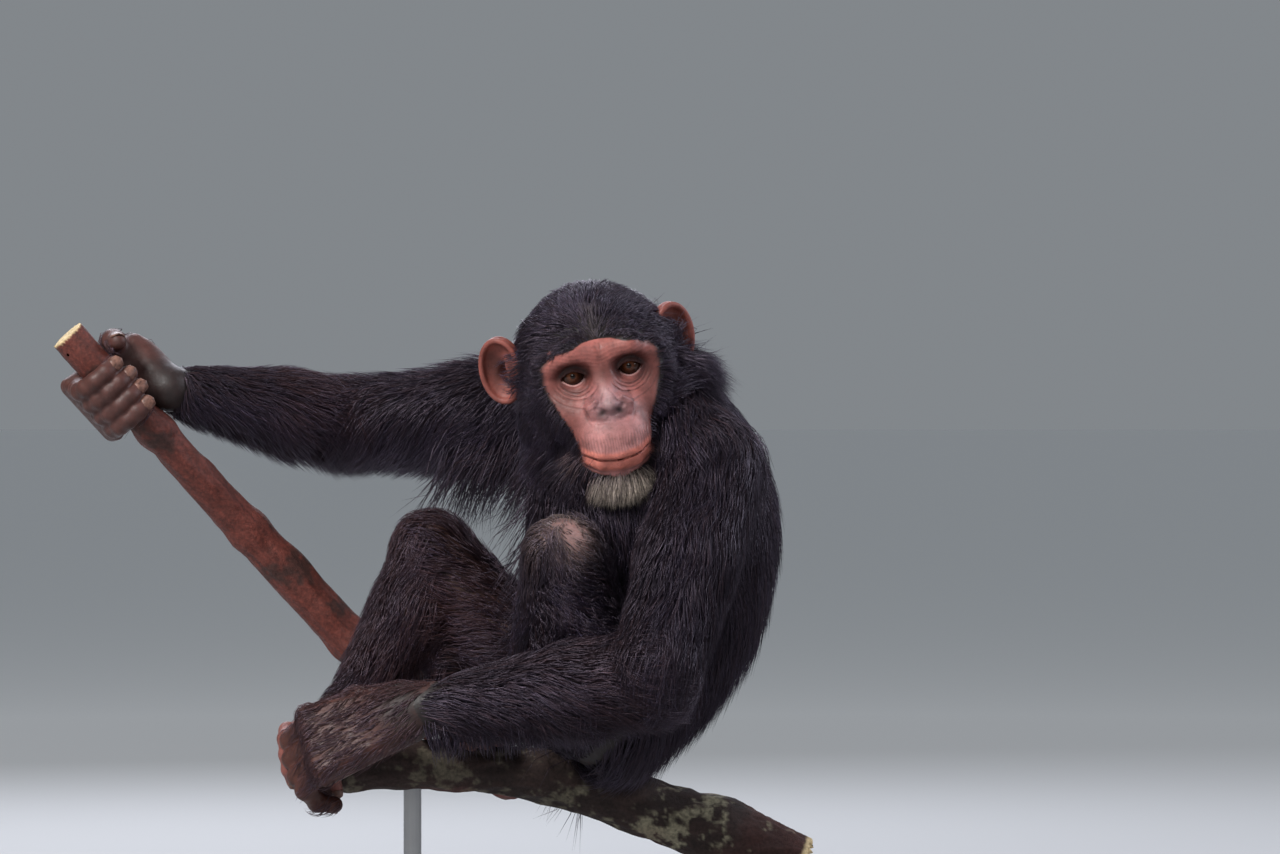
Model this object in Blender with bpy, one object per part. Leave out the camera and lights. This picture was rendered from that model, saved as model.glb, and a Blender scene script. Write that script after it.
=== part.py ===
"""Young chimpanzee sitting on a cut branch, a still display model at life size.

Metres, +Z up, the animal faces -X and looks towards -Y. The floor is z = 0.
Each limb, the trunk and the head is one smooth form built from tapered rounds,
parted at its joints by thin flat cuts. Flat tapered locks of the long coat are
then rooted in these forms and run over them along the lie of the hair.
"""

import math

import bmesh
import bpy
import numpy as np
from mathutils import Matrix, Vector
from mathutils.bvhtree import BVHTree


def vec(x, y, z):
    """Return a point or direction as an array."""
    return np.array((x, y, z), float)


# Gap between neighbouring pieces, and between limbs that only pass each other
SEAM = 0.0003
CLEAR = 0.0025

# Depth of the coat at its tips, by region, and the share that is solid core
COAT_BACK = 0.024
COAT_FRONT = 0.012
COAT_RUMP = 0.010
COAT_SHOULDER = 0.017
COAT_NECK = 0.014
COAT_UPPER_ARM = 0.014
COAT_FOREARM = 0.012
COAT_WRIST = 0.005
COAT_THIGH = 0.011
COAT_SHIN = 0.011
COAT_ANKLE = 0.004
COAT_CROWN = 0.008
COAT_CHEEK = 0.015
CORE_SHARE = 0.45

# Joints of the skeleton
SHOULDER_L = vec(0.0640, -0.058, 0.480)
ELBOW_L = vec(0.0132, -0.138, 0.303)
WRIST_L = vec(-0.2037, -0.086, 0.2640)
SHOULDER_R = vec(-0.0620, 0.130, 0.534)
ELBOW_R = vec(-0.2730, 0.190, 0.524)
WRIST_R = vec(-0.4300, 0.076, 0.551)
HIP_L = vec(-0.0340, -0.018, 0.258)
KNEE_L = vec(-0.0680, -0.100, 0.404)
ANKLE_L = vec(-0.1000, 0.032, 0.267)
HIP_R = vec(-0.0500, 0.078, 0.258)
KNEE_R = vec(-0.1896, 0.063, 0.404)
ANKLE_R = vec(-0.2640, 0.045, 0.262)
NECK_BASE = vec(0.0040, 0.020, 0.520)
NECK_TOP = vec(-0.0280, 0.008, 0.562)

# Head: its centre, how far it is tilted down, over and round, its eyes, and how far
# below its centre the mouth lies and how strongly it curves up
HEAD = vec(-0.0395, -0.020, 0.5745)
HEAD_DOWN = math.radians(16)
HEAD_OVER = math.radians(11)
HEAD_ROUND = math.radians(3.5)
EYE = vec(0.0255, 0.0490, 0.0040)
EYE_RADIUS = 0.0105
MOUTH_HEIGHT = 0.0648
MOUTH_CURVE = 6.2

# Perch: centre lines and radii of the branch and of the limb that rises from it
BRANCH = [
    vec(-0.2952, 0.000, 0.2073),
    vec(-0.2610, 0.000, 0.2109),
    vec(-0.1713, 0.010, 0.2112),
    vec(-0.0904, 0.018, 0.2015),
    vec(0.0000, 0.026, 0.1740),
    vec(0.0724, 0.028, 0.1500),
    vec(0.1500, 0.030, 0.1150),
]
BRANCH_RADII = [0.0210, 0.0220, 0.0220, 0.0230, 0.0260, 0.0310, 0.0280]
LIMB = [
    vec(-0.1200, 0.030, 0.200),
    vec(-0.1850, 0.128, 0.262),
    vec(-0.2680, 0.148, 0.319),
    vec(-0.3605, 0.118, 0.421),
    vec(-0.4424, 0.066, 0.513),
    vec(-0.5200, 0.040, 0.600),
]
LIMB_RADII = [0.0220, 0.0205, 0.0200, 0.0190, 0.0165, 0.0155]

# Stand
BASE_CENTRE = vec(-0.080, 0.020, 0.0)
BASE_LENGTH = 0.44
BASE_WIDTH = 0.28
BASE_THICKNESS = 0.022
BASE_CORNER = 0.030
ROD_RADIUS = 0.008
ROD_PLACES = [vec(-0.205, 0.006, 0.0), vec(0.060, 0.0275, 0.0)]


def unit(v):
    """Return v at length one."""
    v = np.asarray(v, float)
    return v / np.linalg.norm(v)


def square_to(v, axis):
    """Return the part of v that is square to axis, at length one."""
    axis = unit(axis)
    return unit(v - axis * (axis @ v))


def turned(v, axis, angle):
    """Return v turned about axis."""
    axis = unit(axis)
    c = math.cos(angle)
    s = math.sin(angle)
    return v * c + np.cross(axis, v) * s + axis * (axis @ v) * (1 - c)


# Distance fields: each takes points in rows and returns how far outside they are
def capsule(p, a, b, ra, rb):
    """A round bar from a to b that tapers from ra to rb."""
    ab = b - a
    t = np.clip(((p - a) @ ab) / (ab @ ab), 0, 1)
    return np.linalg.norm(p - a - t[:, None] * ab, axis=1) - (ra + (rb - ra) * t)


def ellipsoid(p, centre, radii, axes=None):
    """An ellipsoid, with its own axes in rows if they aren't the world's."""
    q = p - np.asarray(centre, float)
    if axes is not None:
        q = q @ axes.T
    radii = np.asarray(radii, float)
    near = np.linalg.norm(q / radii, axis=1)
    slope = np.linalg.norm(q / radii ** 2, axis=1)
    return near * (near - 1) / np.maximum(slope, 1e-9)


def block(p, origin, out, half_wide, half_high, depth):
    """A box that stands on the plane through origin and reaches depth along out."""
    wide, high, out = block_axes(out)
    q = p - origin
    gaps = np.stack([
        np.abs(q @ wide) - half_wide,
        np.abs(q @ high) - half_high,
        np.abs(q @ out - depth / 2) - depth / 2,
    ], 1)
    return np.linalg.norm(np.maximum(gaps, 0), axis=1) + np.minimum(gaps.max(1), 0)


def join(a, b, k):
    """Union of two fields with a fillet of about k."""
    h = np.clip(0.5 + 0.5 * (b - a) / k, 0, 1)
    return b * (1 - h) + a * h - k * h * (1 - h)


def carve(a, b, k):
    """Field a with b taken out, edges eased by about k."""
    return -join(-a, b, k)


def string(p, points, radii, k):
    """A run of tapered bars through the points."""
    field = None
    for a, b, ra, rb in zip(points, points[1:], radii, radii[1:]):
        bar = capsule(p, a, b, ra, rb)
        field = bar if field is None else join(field, bar, k)
    return field


def block_axes(out):
    """Return the two sides and the way out of a block."""
    out = unit(out)
    wide = unit(np.cross(vec(0, 0, 1), out))
    return wide, np.cross(out, wide), out


def facing(degrees):
    """Rows: the animal's left, its front and up, turned from -X towards -Y."""
    a = math.radians(degrees)
    return np.array([
        (math.sin(a), -math.cos(a), 0),
        (-math.cos(a), -math.sin(a), 0),
        (0, 0, 1),
    ])


def head_axes():
    """Rows: the head's left, its front and its crown, in world directions."""
    left = vec(math.cos(HEAD_ROUND), math.sin(HEAD_ROUND), 0)
    front = vec(math.sin(HEAD_ROUND), -math.cos(HEAD_ROUND), 0)
    up = vec(0, 0, 1)
    c = math.cos(HEAD_DOWN)
    s = math.sin(HEAD_DOWN)
    front, up = c * front - s * up, s * front + c * up
    return np.array([turned(v, vec(0, -1, 0), HEAD_OVER) for v in (left, front, up)])


HEAD_AXES = head_axes()


def head_place(x, y, z):
    """Return a place in the head's own frame as a world point."""
    return HEAD + vec(x, y, z) @ HEAD_AXES


def head_skin(q):
    """The bare head in its own frame: x left, y front, z crown."""
    s = q.copy()
    s[:, 0] = np.abs(s[:, 0])
    # Brain case, temples and the middle of the face
    d = ellipsoid(s, (0, -0.012, 0.010), (0.058, 0.074, 0.052))
    d = join(d, ellipsoid(s, (0, 0.028, -0.014), (0.046, 0.042, 0.044)), 0.020)
    d = join(d, ellipsoid(s, (0.043, 0.010, -0.006), (0.018, 0.034, 0.034)), 0.016)
    # Brow ridge, outer rim of the orbit and cheekbone
    d = join(d, capsule(s, vec(0, 0.0570, 0.0235), vec(0.027, 0.0590, 0.0255), 0.0095, 0.0100), 0.014)
    d = join(d, capsule(s, vec(0.027, 0.0590, 0.0255), vec(0.0460, 0.0470, 0.0150), 0.0100, 0.0088), 0.006)
    d = join(d, capsule(s, vec(0.0460, 0.0470, 0.0150), vec(0.0475, 0.0440, -0.008), 0.0085, 0.0085), 0.008)
    d = join(d, capsule(s, vec(0.0475, 0.0440, -0.008), vec(0.036, 0.0560, -0.028), 0.0090, 0.0120), 0.012)
    d = join(d, capsule(s, vec(0.036, 0.0520, -0.026), vec(0.018, 0.0640, -0.030), 0.0120, 0.0110), 0.014)
    # Eye sockets
    d = carve(d, ellipsoid(s, (0.0250, 0.0665, 0.0070), (0.0165, 0.0120, 0.0120)), 0.006)
    # Bridge of the nose and muzzle
    d = join(d, capsule(s, vec(0, 0.0540, 0.0080), vec(0, 0.0730, -0.0100), 0.0075, 0.0080), 0.012)
    d = join(d, ellipsoid(s, (0, 0.0600, -0.0480), (0.0350, 0.0400, 0.0340)), 0.014)
    d = join(d, ellipsoid(s, (0, 0.0780, -0.0520), (0.0290, 0.0235, 0.0200)), 0.012)
    # Nose
    d = join(d, ellipsoid(s, (0, 0.0835, -0.0180), (0.0100, 0.0115, 0.0085)), 0.006)
    d = join(d, ellipsoid(s, (0.0125, 0.0795, -0.0205), (0.0085, 0.0105, 0.0082)), 0.005)
    # Jaw and chin
    d = join(d, ellipsoid(s, (0, 0.0580, -0.0800), (0.0300, 0.0330, 0.0190)), 0.010)
    d = join(d, capsule(s, vec(0.045, -0.002, -0.040), vec(0.024, 0.050, -0.076), 0.0170, 0.0140), 0.022)
    # Lips, rolled either side of the mouth
    for height, push, thick in ((-0.0592, 0.0985, 0.0056), (-0.0700, 0.0925, 0.0060)):
        middle = vec(0.0150, push - 0.0040, height + 0.0014)
        corner = vec(0.0270, push - 0.0150, height + 0.0040)
        d = join(d, capsule(s, vec(0, push, height), middle, thick, thick), 0.005)
        d = join(d, capsule(s, middle, corner, thick, thick * 0.6), 0.004)
    # Lids round the eyeball
    d = join(d, ellipsoid(s, EYE, (0.0132, 0.0128, 0.0122)), 0.0035)
    # Nostrils, mouth line and the opening between the lids
    nostril = capsule(s, vec(0.0040, 0.0960, -0.0238), vec(0.0090, 0.0900, -0.0192), 0.0024, 0.0028)
    d = carve(d, nostril, 0.0018)
    line = np.abs(s[:, 2] + MOUTH_HEIGHT - MOUTH_CURVE * s[:, 0] ** 2) - 0.0012
    slit = np.maximum(line, np.maximum(s[:, 0] - 0.0285, 0.060 - s[:, 1]))
    d = carve(d, np.maximum(slit, -d - 0.0032), 0.0020)
    e = s - EYE
    rim = np.abs(e[:, 2] - 0.0006) - 0.0062 * (1 - (e[:, 0] / 0.0106) ** 2)
    d = carve(d, np.maximum(rim, 0.0045 - e[:, 1]), 0.0010)
    return d


def head_hair(q):
    """Depth of the solid coat on the head, none on the bare face."""
    oval = np.sqrt((q[:, 0] / 0.050) ** 2 + ((q[:, 2] + 0.030) / 0.064) ** 2)
    face = np.clip((1.65 - oval) / 0.70, 0, 1) * np.clip((q[:, 1] + 0.015) / 0.045, 0, 1)
    low = np.clip((0.030 - q[:, 2]) / 0.045, 0, 1)
    depth = COAT_CROWN + (COAT_CHEEK - COAT_CROWN) * low
    return depth * CORE_SHARE * (1 - face * face * (3 - 2 * face))


def head_field(p):
    """The head with its coat, in the world."""
    q = (p - HEAD) @ HEAD_AXES.T
    return head_skin(q) - head_hair(q)


# Trunk, from the pelvis up: centre, radii (across, front to back, up), how far it
# faces round, and the coat's depth at its back
TRUNK_FORMS = [
    (vec(-0.014, 0.030, 0.292), (0.066, 0.062, 0.056), 14, COAT_RUMP),
    (vec(0.008, 0.030, 0.360), (0.080, 0.090, 0.082), 20, COAT_BACK),
    (vec(0.008, 0.030, 0.432), (0.088, 0.104, 0.088), 26, COAT_BACK),
    (vec(0.000, 0.026, 0.498), (0.072, 0.090, 0.060), 28, COAT_BACK),
]
BUTTOCKS = [vec(-0.028, -0.016, 0.256), vec(-0.030, 0.078, 0.256)]


def trunk_field(p):
    """Pelvis, belly, chest, shoulders and neck with their coat."""
    d = None
    for centre, radii, turn, back in TRUNK_FORMS:
        axes = facing(turn)
        back = back * CORE_SHARE
        front = min(COAT_FRONT * CORE_SHARE, back)
        middle = centre - axes[1] * (back - front) / 2
        thick = (back + front) / 2
        form = ellipsoid(p, middle, np.array(radii) + thick, axes)
        d = form if d is None else join(d, form, 0.040)
    for centre in BUTTOCKS:
        d = join(d, ellipsoid(p, centre, (0.044, 0.044, 0.046)), 0.024)
    fur = COAT_SHOULDER * CORE_SHARE
    d = join(d, capsule(p, SHOULDER_L, vec(0.010, 0.004, 0.528), 0.034 + fur, 0.038 + fur), 0.034)
    d = join(d, capsule(p, SHOULDER_R, vec(0.000, 0.036, 0.530), 0.038 + fur, 0.040 + fur), 0.034)
    fur = COAT_NECK * CORE_SHARE
    return join(d, capsule(p, NECK_BASE, NECK_TOP, 0.048 + fur, 0.044 + fur), 0.030)


def arm_field(p, shoulder, elbow, wrist):
    """Upper arm and forearm with their coat."""
    upper = COAT_UPPER_ARM * CORE_SHARE
    lower = COAT_FOREARM * CORE_SHARE
    end = COAT_WRIST * CORE_SHARE
    middle = shoulder + (elbow - shoulder) * 0.45
    belly = elbow + (wrist - elbow) * 0.33
    d = capsule(p, shoulder, middle, 0.0360 + upper, 0.0360 + upper)
    d = join(d, capsule(p, middle, elbow, 0.0360 + upper, 0.0285 + lower), 0.010)
    d = join(d, capsule(p, elbow, belly, 0.0285 + lower, 0.0290 + lower), 0.012)
    return join(d, capsule(p, belly, wrist, 0.0290 + lower, 0.0190 + end), 0.010)


# How far the flesh of each thigh hangs below the line from hip to knee
SAG_L = 0.006
SAG_R = 0.018
FOLD = 0.112


def leg_field(p, hip, knee, ankle, sag):
    """Thigh and shin with their coat."""
    upper = COAT_THIGH * CORE_SHARE
    lower = COAT_SHIN * CORE_SHARE
    end = COAT_ANKLE * CORE_SHARE
    middle = hip + (knee - hip) * 0.5 - vec(0, 0, sag)
    calf = knee + (ankle - knee) * 0.36 + square_to(hip - knee, ankle - knee) * 0.010
    d = capsule(p, hip, middle, 0.046, 0.0420 + upper)
    d = join(d, capsule(p, middle, knee, 0.0420 + upper, 0.0300 + upper), 0.012)
    d = join(d, capsule(p, knee, calf, 0.0280 + lower, 0.0300 + lower), 0.008)
    d = join(d, capsule(p, calf, ankle, 0.0300 + lower, 0.0180 + end), 0.014)
    # Calf and thigh pressed together behind the knee
    fold = knee + unit(unit(hip - knee) + unit(ankle - knee)) * FOLD
    return join(d, capsule(p, knee, fold, 0.0260 + upper, 0.0160 + upper), 0.010)


def palm(p, wrist, ahead, back, length, width, thickness):
    """The flat of a hand: ahead runs to the knuckles, back is its outer side."""
    side = unit(np.cross(ahead, back))
    ahead = unit(ahead)
    axes = np.array([side, ahead, np.cross(side, ahead)])
    q = (p - wrist - ahead * length * 0.52) @ axes.T
    half = np.array([width / 2 - 0.007, length * 0.5, thickness / 2 - 0.007])
    q[:, 0] /= 1 + 0.20 * np.clip(q[:, 1] / half[1], -1, 1)
    gaps = np.abs(q) - half
    return np.linalg.norm(np.maximum(gaps, 0), axis=1) + np.minimum(gaps.max(1), 0) - 0.008


def finger(p, start, ahead, axis, lengths, bends, thick, thin):
    """A finger or toe: each length bends about axis from the one before."""
    points = [start]
    for length, bend in zip(lengths, bends):
        ahead = turned(ahead, axis, math.radians(bend))
        points.append(points[-1] + ahead * length)
    radii = np.linspace(thick, thin, len(points))
    return string(p, points, radii, 0.003)


HAND_L_AHEAD = unit(vec(-0.90, 0.10, -0.33))
HAND_L_BACK = square_to(vec(-0.15, -0.86, 0.48), HAND_L_AHEAD)


def hand_left_field(p):
    """Left hand laid over the right foot, fingers curled down round its outer side."""
    ahead = HAND_L_AHEAD
    back = HAND_L_BACK
    side = np.cross(ahead, back)
    if side[2] < 0:
        side = -side
    d = palm(p, WRIST_L, ahead, back, 0.088, 0.062, 0.026)
    d = join(d, capsule(p, WRIST_L - ahead * 0.020, WRIST_L + ahead * 0.020, 0.0200, 0.0190), 0.015)
    curl = np.cross(ahead, -back)
    spread = ((0.0230, 0.92, -4), (0.0080, 1.00, 0), (-0.0075, 0.97, 5), (-0.0225, 0.84, 10))
    for across, size, lean in spread:
        start = WRIST_L + ahead * (0.086 + 0.004 * size) + side * across
        way = turned(ahead, back, math.radians(lean))
        lengths = [0.036 * size, 0.027 * size, 0.019 * size]
        d = join(d, finger(p, start, way, curl, lengths, (40, 58, 42), 0.0092, 0.0076), 0.005)
    thumb = [
        WRIST_L + ahead * 0.016 + side * 0.018,
        WRIST_L + ahead * 0.042 + side * 0.033 - back * 0.004,
        WRIST_L + ahead * 0.066 + side * 0.036 - back * 0.012,
    ]
    return join(d, string(p, thumb, [0.0105, 0.0092, 0.0078], 0.003), 0.008)


GRIP = LIMB[4] + (LIMB[5] - LIMB[4]) * 0.42
GRIP_AXIS = unit(LIMB[5] - LIMB[4])
GRIP_NEAR = square_to(WRIST_R - GRIP, GRIP_AXIS)
GRIP_BEHIND = np.cross(GRIP_AXIS, GRIP_NEAR)
if GRIP_BEHIND[1] < 0:
    GRIP_BEHIND = -GRIP_BEHIND


def hand_right_field(p):
    """Right hand closed on the rising limb, palm behind it, fingers over the far side."""
    centre = GRIP + GRIP_BEHIND * 0.0275
    d = palm(p, centre + GRIP_NEAR * 0.050, -GRIP_NEAR, GRIP_BEHIND, 0.070, 0.060, 0.024)
    d = join(d, capsule(p, WRIST_R, centre + GRIP_NEAR * 0.044, 0.0195, 0.0185), 0.015)
    for along, sweep in ((0.0235, 158), (0.0080, 166), (-0.0075, 164), (-0.0225, 152)):
        points = []
        for step in range(7):
            angle = math.radians(35 + sweep * step / 6)
            reach = GRIP_BEHIND * math.cos(angle) - GRIP_NEAR * math.sin(angle)
            points.append(GRIP + GRIP_AXIS * along + reach * 0.0265)
        d = join(d, string(p, points, np.linspace(0.0092, 0.0074, 7), 0.004), 0.004)
    thumb = [
        centre + GRIP_NEAR * 0.035 + GRIP_AXIS * 0.026,
        GRIP + GRIP_NEAR * 0.031 + GRIP_AXIS * 0.034 + GRIP_BEHIND * 0.006,
        GRIP + GRIP_NEAR * 0.026 + GRIP_AXIS * 0.034 - GRIP_BEHIND * 0.016,
    ]
    return join(d, string(p, thumb, [0.0105, 0.0095, 0.0080], 0.004), 0.006)


def foot_field(p, ankle, ball, heel, reach, toes, great_toe):
    """A foot laid across the branch, its toes over the near side."""
    d = capsule(p, ankle, ball + vec(0, 0.030, 0.004), 0.0185, 0.0145)
    d = join(d, capsule(p, ankle, heel, 0.0185, 0.0175), 0.012)
    d = join(d, ellipsoid(p, ball + vec(0, 0.014, 0), (0.029, 0.030, 0.0130)), 0.012)
    for x, drop in toes:
        points = [
            ball + vec(x, -0.006, 0.000),
            ball + vec(x, -reach * 0.72, -0.006),
            ball + vec(x + 0.001, -reach, -0.006 - drop * 0.35),
            ball + vec(x + 0.003, -reach - 0.0005, -0.006 - drop * 0.7),
            ball + vec(x + 0.006, -reach + 0.006, -0.006 - drop),
        ]
        d = join(d, string(p, points, [0.0088, 0.0080, 0.0072, 0.0068, 0.0062], 0.003), 0.003)
    points = [ball + np.asarray(step) for step in great_toe]
    return join(d, string(p, points, [0.0115, 0.0105, 0.0090, 0.0078], 0.003), 0.008)


def foot_left_field(p):
    """Left foot, behind the forearm, its toes flat on top of the branch."""
    toes = ((-0.014, 0.010), (-0.001, 0.012), (0.012, 0.011), (0.024, 0.008))
    great = ((-0.022, 0.026, 0.0), (-0.034, 0.010, 0.000), (-0.038, -0.010, -0.002), (-0.036, -0.024, -0.006))
    return foot_field(p, ANKLE_L, vec(-0.156, 0.010, 0.2490), vec(-0.104, 0.066, 0.251), 0.030, toes, great)


def foot_right_field(p):
    """Right foot on the branch's cut end, under the left hand."""
    toes = ((-0.026, 0.038), (-0.013, 0.042), (0.000, 0.048), (0.0125, 0.047))
    great = ((0.020, 0.026, 0.0), (0.030, 0.006, -0.003), (0.0300, -0.022, -0.012), (0.0290, -0.032, -0.030))
    return foot_field(p, ANKLE_R, vec(-0.290, -0.006, 0.2430), vec(-0.262, 0.070, 0.244), 0.033, toes, great)


def branch_field(p):
    """The branch the animal sits on."""
    return string(p, BRANCH, BRANCH_RADII, 0.010)


def limb_field(p):
    """The limb that rises from the branch to the right hand."""
    return string(p, LIMB, LIMB_RADII, 0.010)


def perch_field(p):
    """The whole perch."""
    return np.minimum(branch_field(p), limb_field(p))


# Where the arms and the neck part from the trunk: place on the flat cut, its way
# out, half its width and height, and how deep the piece cut away reaches
NECK_CUT = (vec(0.001, 0.019, 0.524), vec(-0.45, -0.15, 0.88), 0.068, 0.068, 0.110)
SHOULDER_L_CUT = (vec(0.030, -0.060, 0.425), vec(0.05, -0.98, 0.17), 0.095, 0.150, 0.150)
SHOULDER_R_CUT = (vec(-0.084, 0.136, 0.528), vec(-0.95, 0.30, 0.07), 0.086, 0.086, 0.130)
OVERCUT = 0.006


def without_block(d, p, cut, flip=False):
    """Field d with a hollow a little smaller than the cut's block."""
    origin, out, half_wide, half_high, depth = cut
    if flip:
        out = -out
    return np.maximum(d, -block(p, origin, out, half_wide, half_high, depth) - OVERCUT)


def limb_root(p, start, end, thick, thin):
    """The first half of a limb, which the trunk's fillets run into."""
    return capsule(p, start, start + (end - start) * 0.45, thick, thin)


def trunk_part(p):
    """The trunk with the roots of the arms, cut back where they part."""
    arm = COAT_UPPER_ARM * CORE_SHARE
    d = trunk_field(p)
    d = join(d, limb_root(p, SHOULDER_L, ELBOW_L, 0.036 + arm, 0.036 + arm), 0.024)
    d = join(d, limb_root(p, SHOULDER_R, ELBOW_R, 0.036 + arm, 0.036 + arm), 0.030)
    for cut in (SHOULDER_L_CUT, SHOULDER_R_CUT):
        d = without_block(d, p, cut)
    return d


def arm_part(p, arm, cut, blend, others):
    """An arm with the fillet at its root, clear of what it only passes."""
    d = join(trunk_field(p), arm, blend)
    d = np.maximum(d, arm - 0.012)
    for other in others:
        d = np.maximum(d, CLEAR - other)
    return without_block(d, p, cut, flip=True)


def arm_left(p):
    """Left arm and hand, without the trunk."""
    return join(arm_field(p, SHOULDER_L, ELBOW_L, WRIST_L), hand_left_field(p), 0.006)


def arm_right(p):
    """Right arm and hand, without the trunk."""
    return join(arm_field(p, SHOULDER_R, ELBOW_R, WRIST_R), hand_right_field(p), 0.006)


def leg_left(p):
    """Left leg and foot, without the trunk."""
    return join(leg_field(p, HIP_L, KNEE_L, ANKLE_L, SAG_L), foot_left_field(p), 0.006)


def leg_right(p):
    """Right leg and foot, without the trunk."""
    return join(leg_field(p, HIP_R, KNEE_R, ANKLE_R, SAG_R), foot_right_field(p), 0.006)


def arm_left_part(p):
    """Left arm, parted from the trunk and clear of the head, legs and branch."""
    others = [head_field(p), leg_left(p), leg_right(p), perch_field(p)]
    return arm_part(p, arm_left(p), SHOULDER_L_CUT, 0.024, others)


def arm_right_part(p):
    """Right arm, parted from the trunk and clear of the head."""
    return arm_part(p, arm_right(p), SHOULDER_R_CUT, 0.030, [head_field(p)])


def leg_right_part(p):
    """Right leg, clear of the left one."""
    return np.maximum(leg_right(p), CLEAR - leg_left(p))


# Meshing a field
CORNERS = np.array([(i, j, k) for i in (0, 1) for j in (0, 1) for k in (0, 1)])
EDGES = [(a, b) for a in range(8) for b in range(a + 1, 8) if np.abs(CORNERS[b] - CORNERS[a]).sum() == 1]
COARSE = 4
POWERS = 2 ** np.arange(8)


def single_sheets():
    """For every pattern of inside corners, whether the surface passes a cell only once."""
    table = np.zeros(256, bool)
    for pattern in range(256):
        inside = [pattern >> corner & 1 for corner in range(8)]
        group = list(range(8))
        for _ in range(8):
            for a, b in EDGES:
                if inside[a] == inside[b]:
                    group[a] = group[b] = min(group[a], group[b])
        table[pattern] = len(set(group)) <= 2
    return table


SINGLE = single_sheets()


def near_cells(field, low, high, step):
    """Return the cells of a grid that lie near the field's surface."""
    wide = step * COARSE
    count = np.ceil((high - low) / wide).astype(int) + 1
    grid = np.stack(np.meshgrid(*[np.arange(n) for n in count], indexing="ij"), -1).reshape(-1, 3)
    grid = grid[np.abs(field(low + (grid + 0.5) * wide)) < wide]
    inner = np.stack(np.meshgrid(*[np.arange(COARSE)] * 3, indexing="ij"), -1).reshape(-1, 3)
    return (grid[:, None] * COARSE + inner).reshape(-1, 3), count * COARSE + 2


def surface_net(field, low, high, step):
    """Return points and four-sided faces on the surface where the field is zero."""
    low = np.asarray(low, float)
    cells, count = near_cells(field, low, np.asarray(high, float), step)

    def key(c):
        return (c[:, 0] * count[1] + c[:, 1]) * count[2] + c[:, 2]

    places = np.unique(np.concatenate([key(cells + c) for c in CORNERS]))
    grid = np.stack([
        places // (count[1] * count[2]),
        places // count[2] % count[1],
        places % count[2],
    ], -1)
    values = field(low + grid * step)
    corner = np.stack([np.searchsorted(places, key(cells + c)) for c in CORNERS], 1)
    # Fill single corners until no two sheets of the surface meet in a cell
    while True:
        torn = corner[~SINGLE[((values[corner] < 0) * POWERS).sum(1)]]
        if len(torn) == 0:
            break
        least = np.where(values[torn] < 0, np.inf, values[torn]).argmin(1)
        values[torn[np.arange(len(torn)), least]] = -step * 0.05
    at = values[corner]
    crossed = (at.min(1) < 0) & (at.max(1) >= 0)
    cells = cells[crossed]
    at = at[crossed]
    order = np.argsort(key(cells))
    cells = cells[order]
    at = at[order]
    keys = key(cells)

    # One point in each crossed cell, at the mean of its edges' crossings
    total = np.zeros((len(cells), 3))
    hits = np.zeros(len(cells))
    for a, b in EDGES:
        crossing = (at[:, a] < 0) != (at[:, b] < 0)
        span = np.where(at[:, a] == at[:, b], 1, at[:, a] - at[:, b])
        t = np.where(crossing, at[:, a] / span, 0)
        total += crossing[:, None] * (CORNERS[a] + t[:, None] * (CORNERS[b] - CORNERS[a]))
        hits += crossing
    points = low + (cells + total / hits[:, None]) * step

    def index(c):
        found = np.minimum(np.searchsorted(keys, key(c)), len(keys) - 1)
        return np.where(keys[found] == key(c), found, -1)

    # One face round each grid edge that the surface crosses
    faces = []
    sides = np.eye(3, dtype=int)
    for axis in range(3):
        b = sides[(axis + 1) % 3]
        c = sides[(axis + 2) % 3]
        far = int(np.flatnonzero((CORNERS == sides[axis]).all(1))[0])
        crossing = (at[:, 0] < 0) != (at[:, far] < 0)
        base = cells[crossing]
        inside = at[crossing, 0] < 0
        quads = np.stack([index(base), index(base - b), index(base - b - c), index(base - c)], 1)
        whole = (quads >= 0).all(1)
        quads = quads[whole]
        inside = inside[whole]
        quads[~inside] = quads[~inside][:, ::-1]
        faces.append(quads)
    return settle(field, points, step), np.concatenate(faces)


def settle(field, points, step):
    """Move the points onto the surface."""
    for _ in range(2):
        nudge = step * 0.25
        slope = np.stack([
            (field(points + axis * nudge) - field(points - axis * nudge)) / (2 * nudge)
            for axis in np.eye(3)
        ], 1)
        move = field(points)[:, None] * slope / np.maximum((slope ** 2).sum(1), 0.25)[:, None]
        far = np.linalg.norm(move, axis=1)
        points = points - move * np.minimum(1, step * 0.6 / np.maximum(far, 1e-12))[:, None]
    return points


# Objects
def material(name, colour, roughness, metallic=0.0):
    """Return a plain material of one colour."""
    made = bpy.data.materials.new(name)
    made.use_nodes = True
    shader = made.node_tree.nodes["Principled BSDF"]
    shader.inputs["Base Color"].default_value = (*colour, 1)
    shader.inputs["Roughness"].default_value = roughness
    shader.inputs["Metallic"].default_value = metallic
    made.diffuse_color = (*colour, 1)
    return made


def object_from(name, mesh):
    """Link a new object for the mesh."""
    made = bpy.data.objects.new(name, mesh)
    bpy.context.collection.objects.link(made)
    return made


def object_of(name, points, faces):
    """Make an object from points and faces."""
    mesh = bpy.data.meshes.new(name)
    mesh.from_pydata([tuple(p) for p in points], [], [tuple(int(i) for i in f) for f in faces])
    mesh.update()
    return object_from(name, mesh)


def evaluated(ob):
    """Bake the object's modifiers into its mesh."""
    bpy.context.view_layer.update()
    graph = bpy.context.evaluated_depsgraph_get()
    mesh = bpy.data.meshes.new_from_object(ob.evaluated_get(graph))
    old = ob.data
    ob.modifiers.clear()
    ob.data = mesh
    bpy.data.meshes.remove(old)
    return ob


def thinned(ob, triangles):
    """Collapse the mesh to about this many triangles, finer where it bends."""
    now = sum(len(f.vertices) - 2 for f in ob.data.polygons)
    if now > triangles:
        thin = ob.modifiers.new("thin", "DECIMATE")
        thin.ratio = triangles / now
        thin.use_collapse_triangulate = True
        evaluated(ob)
    return ob


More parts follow.
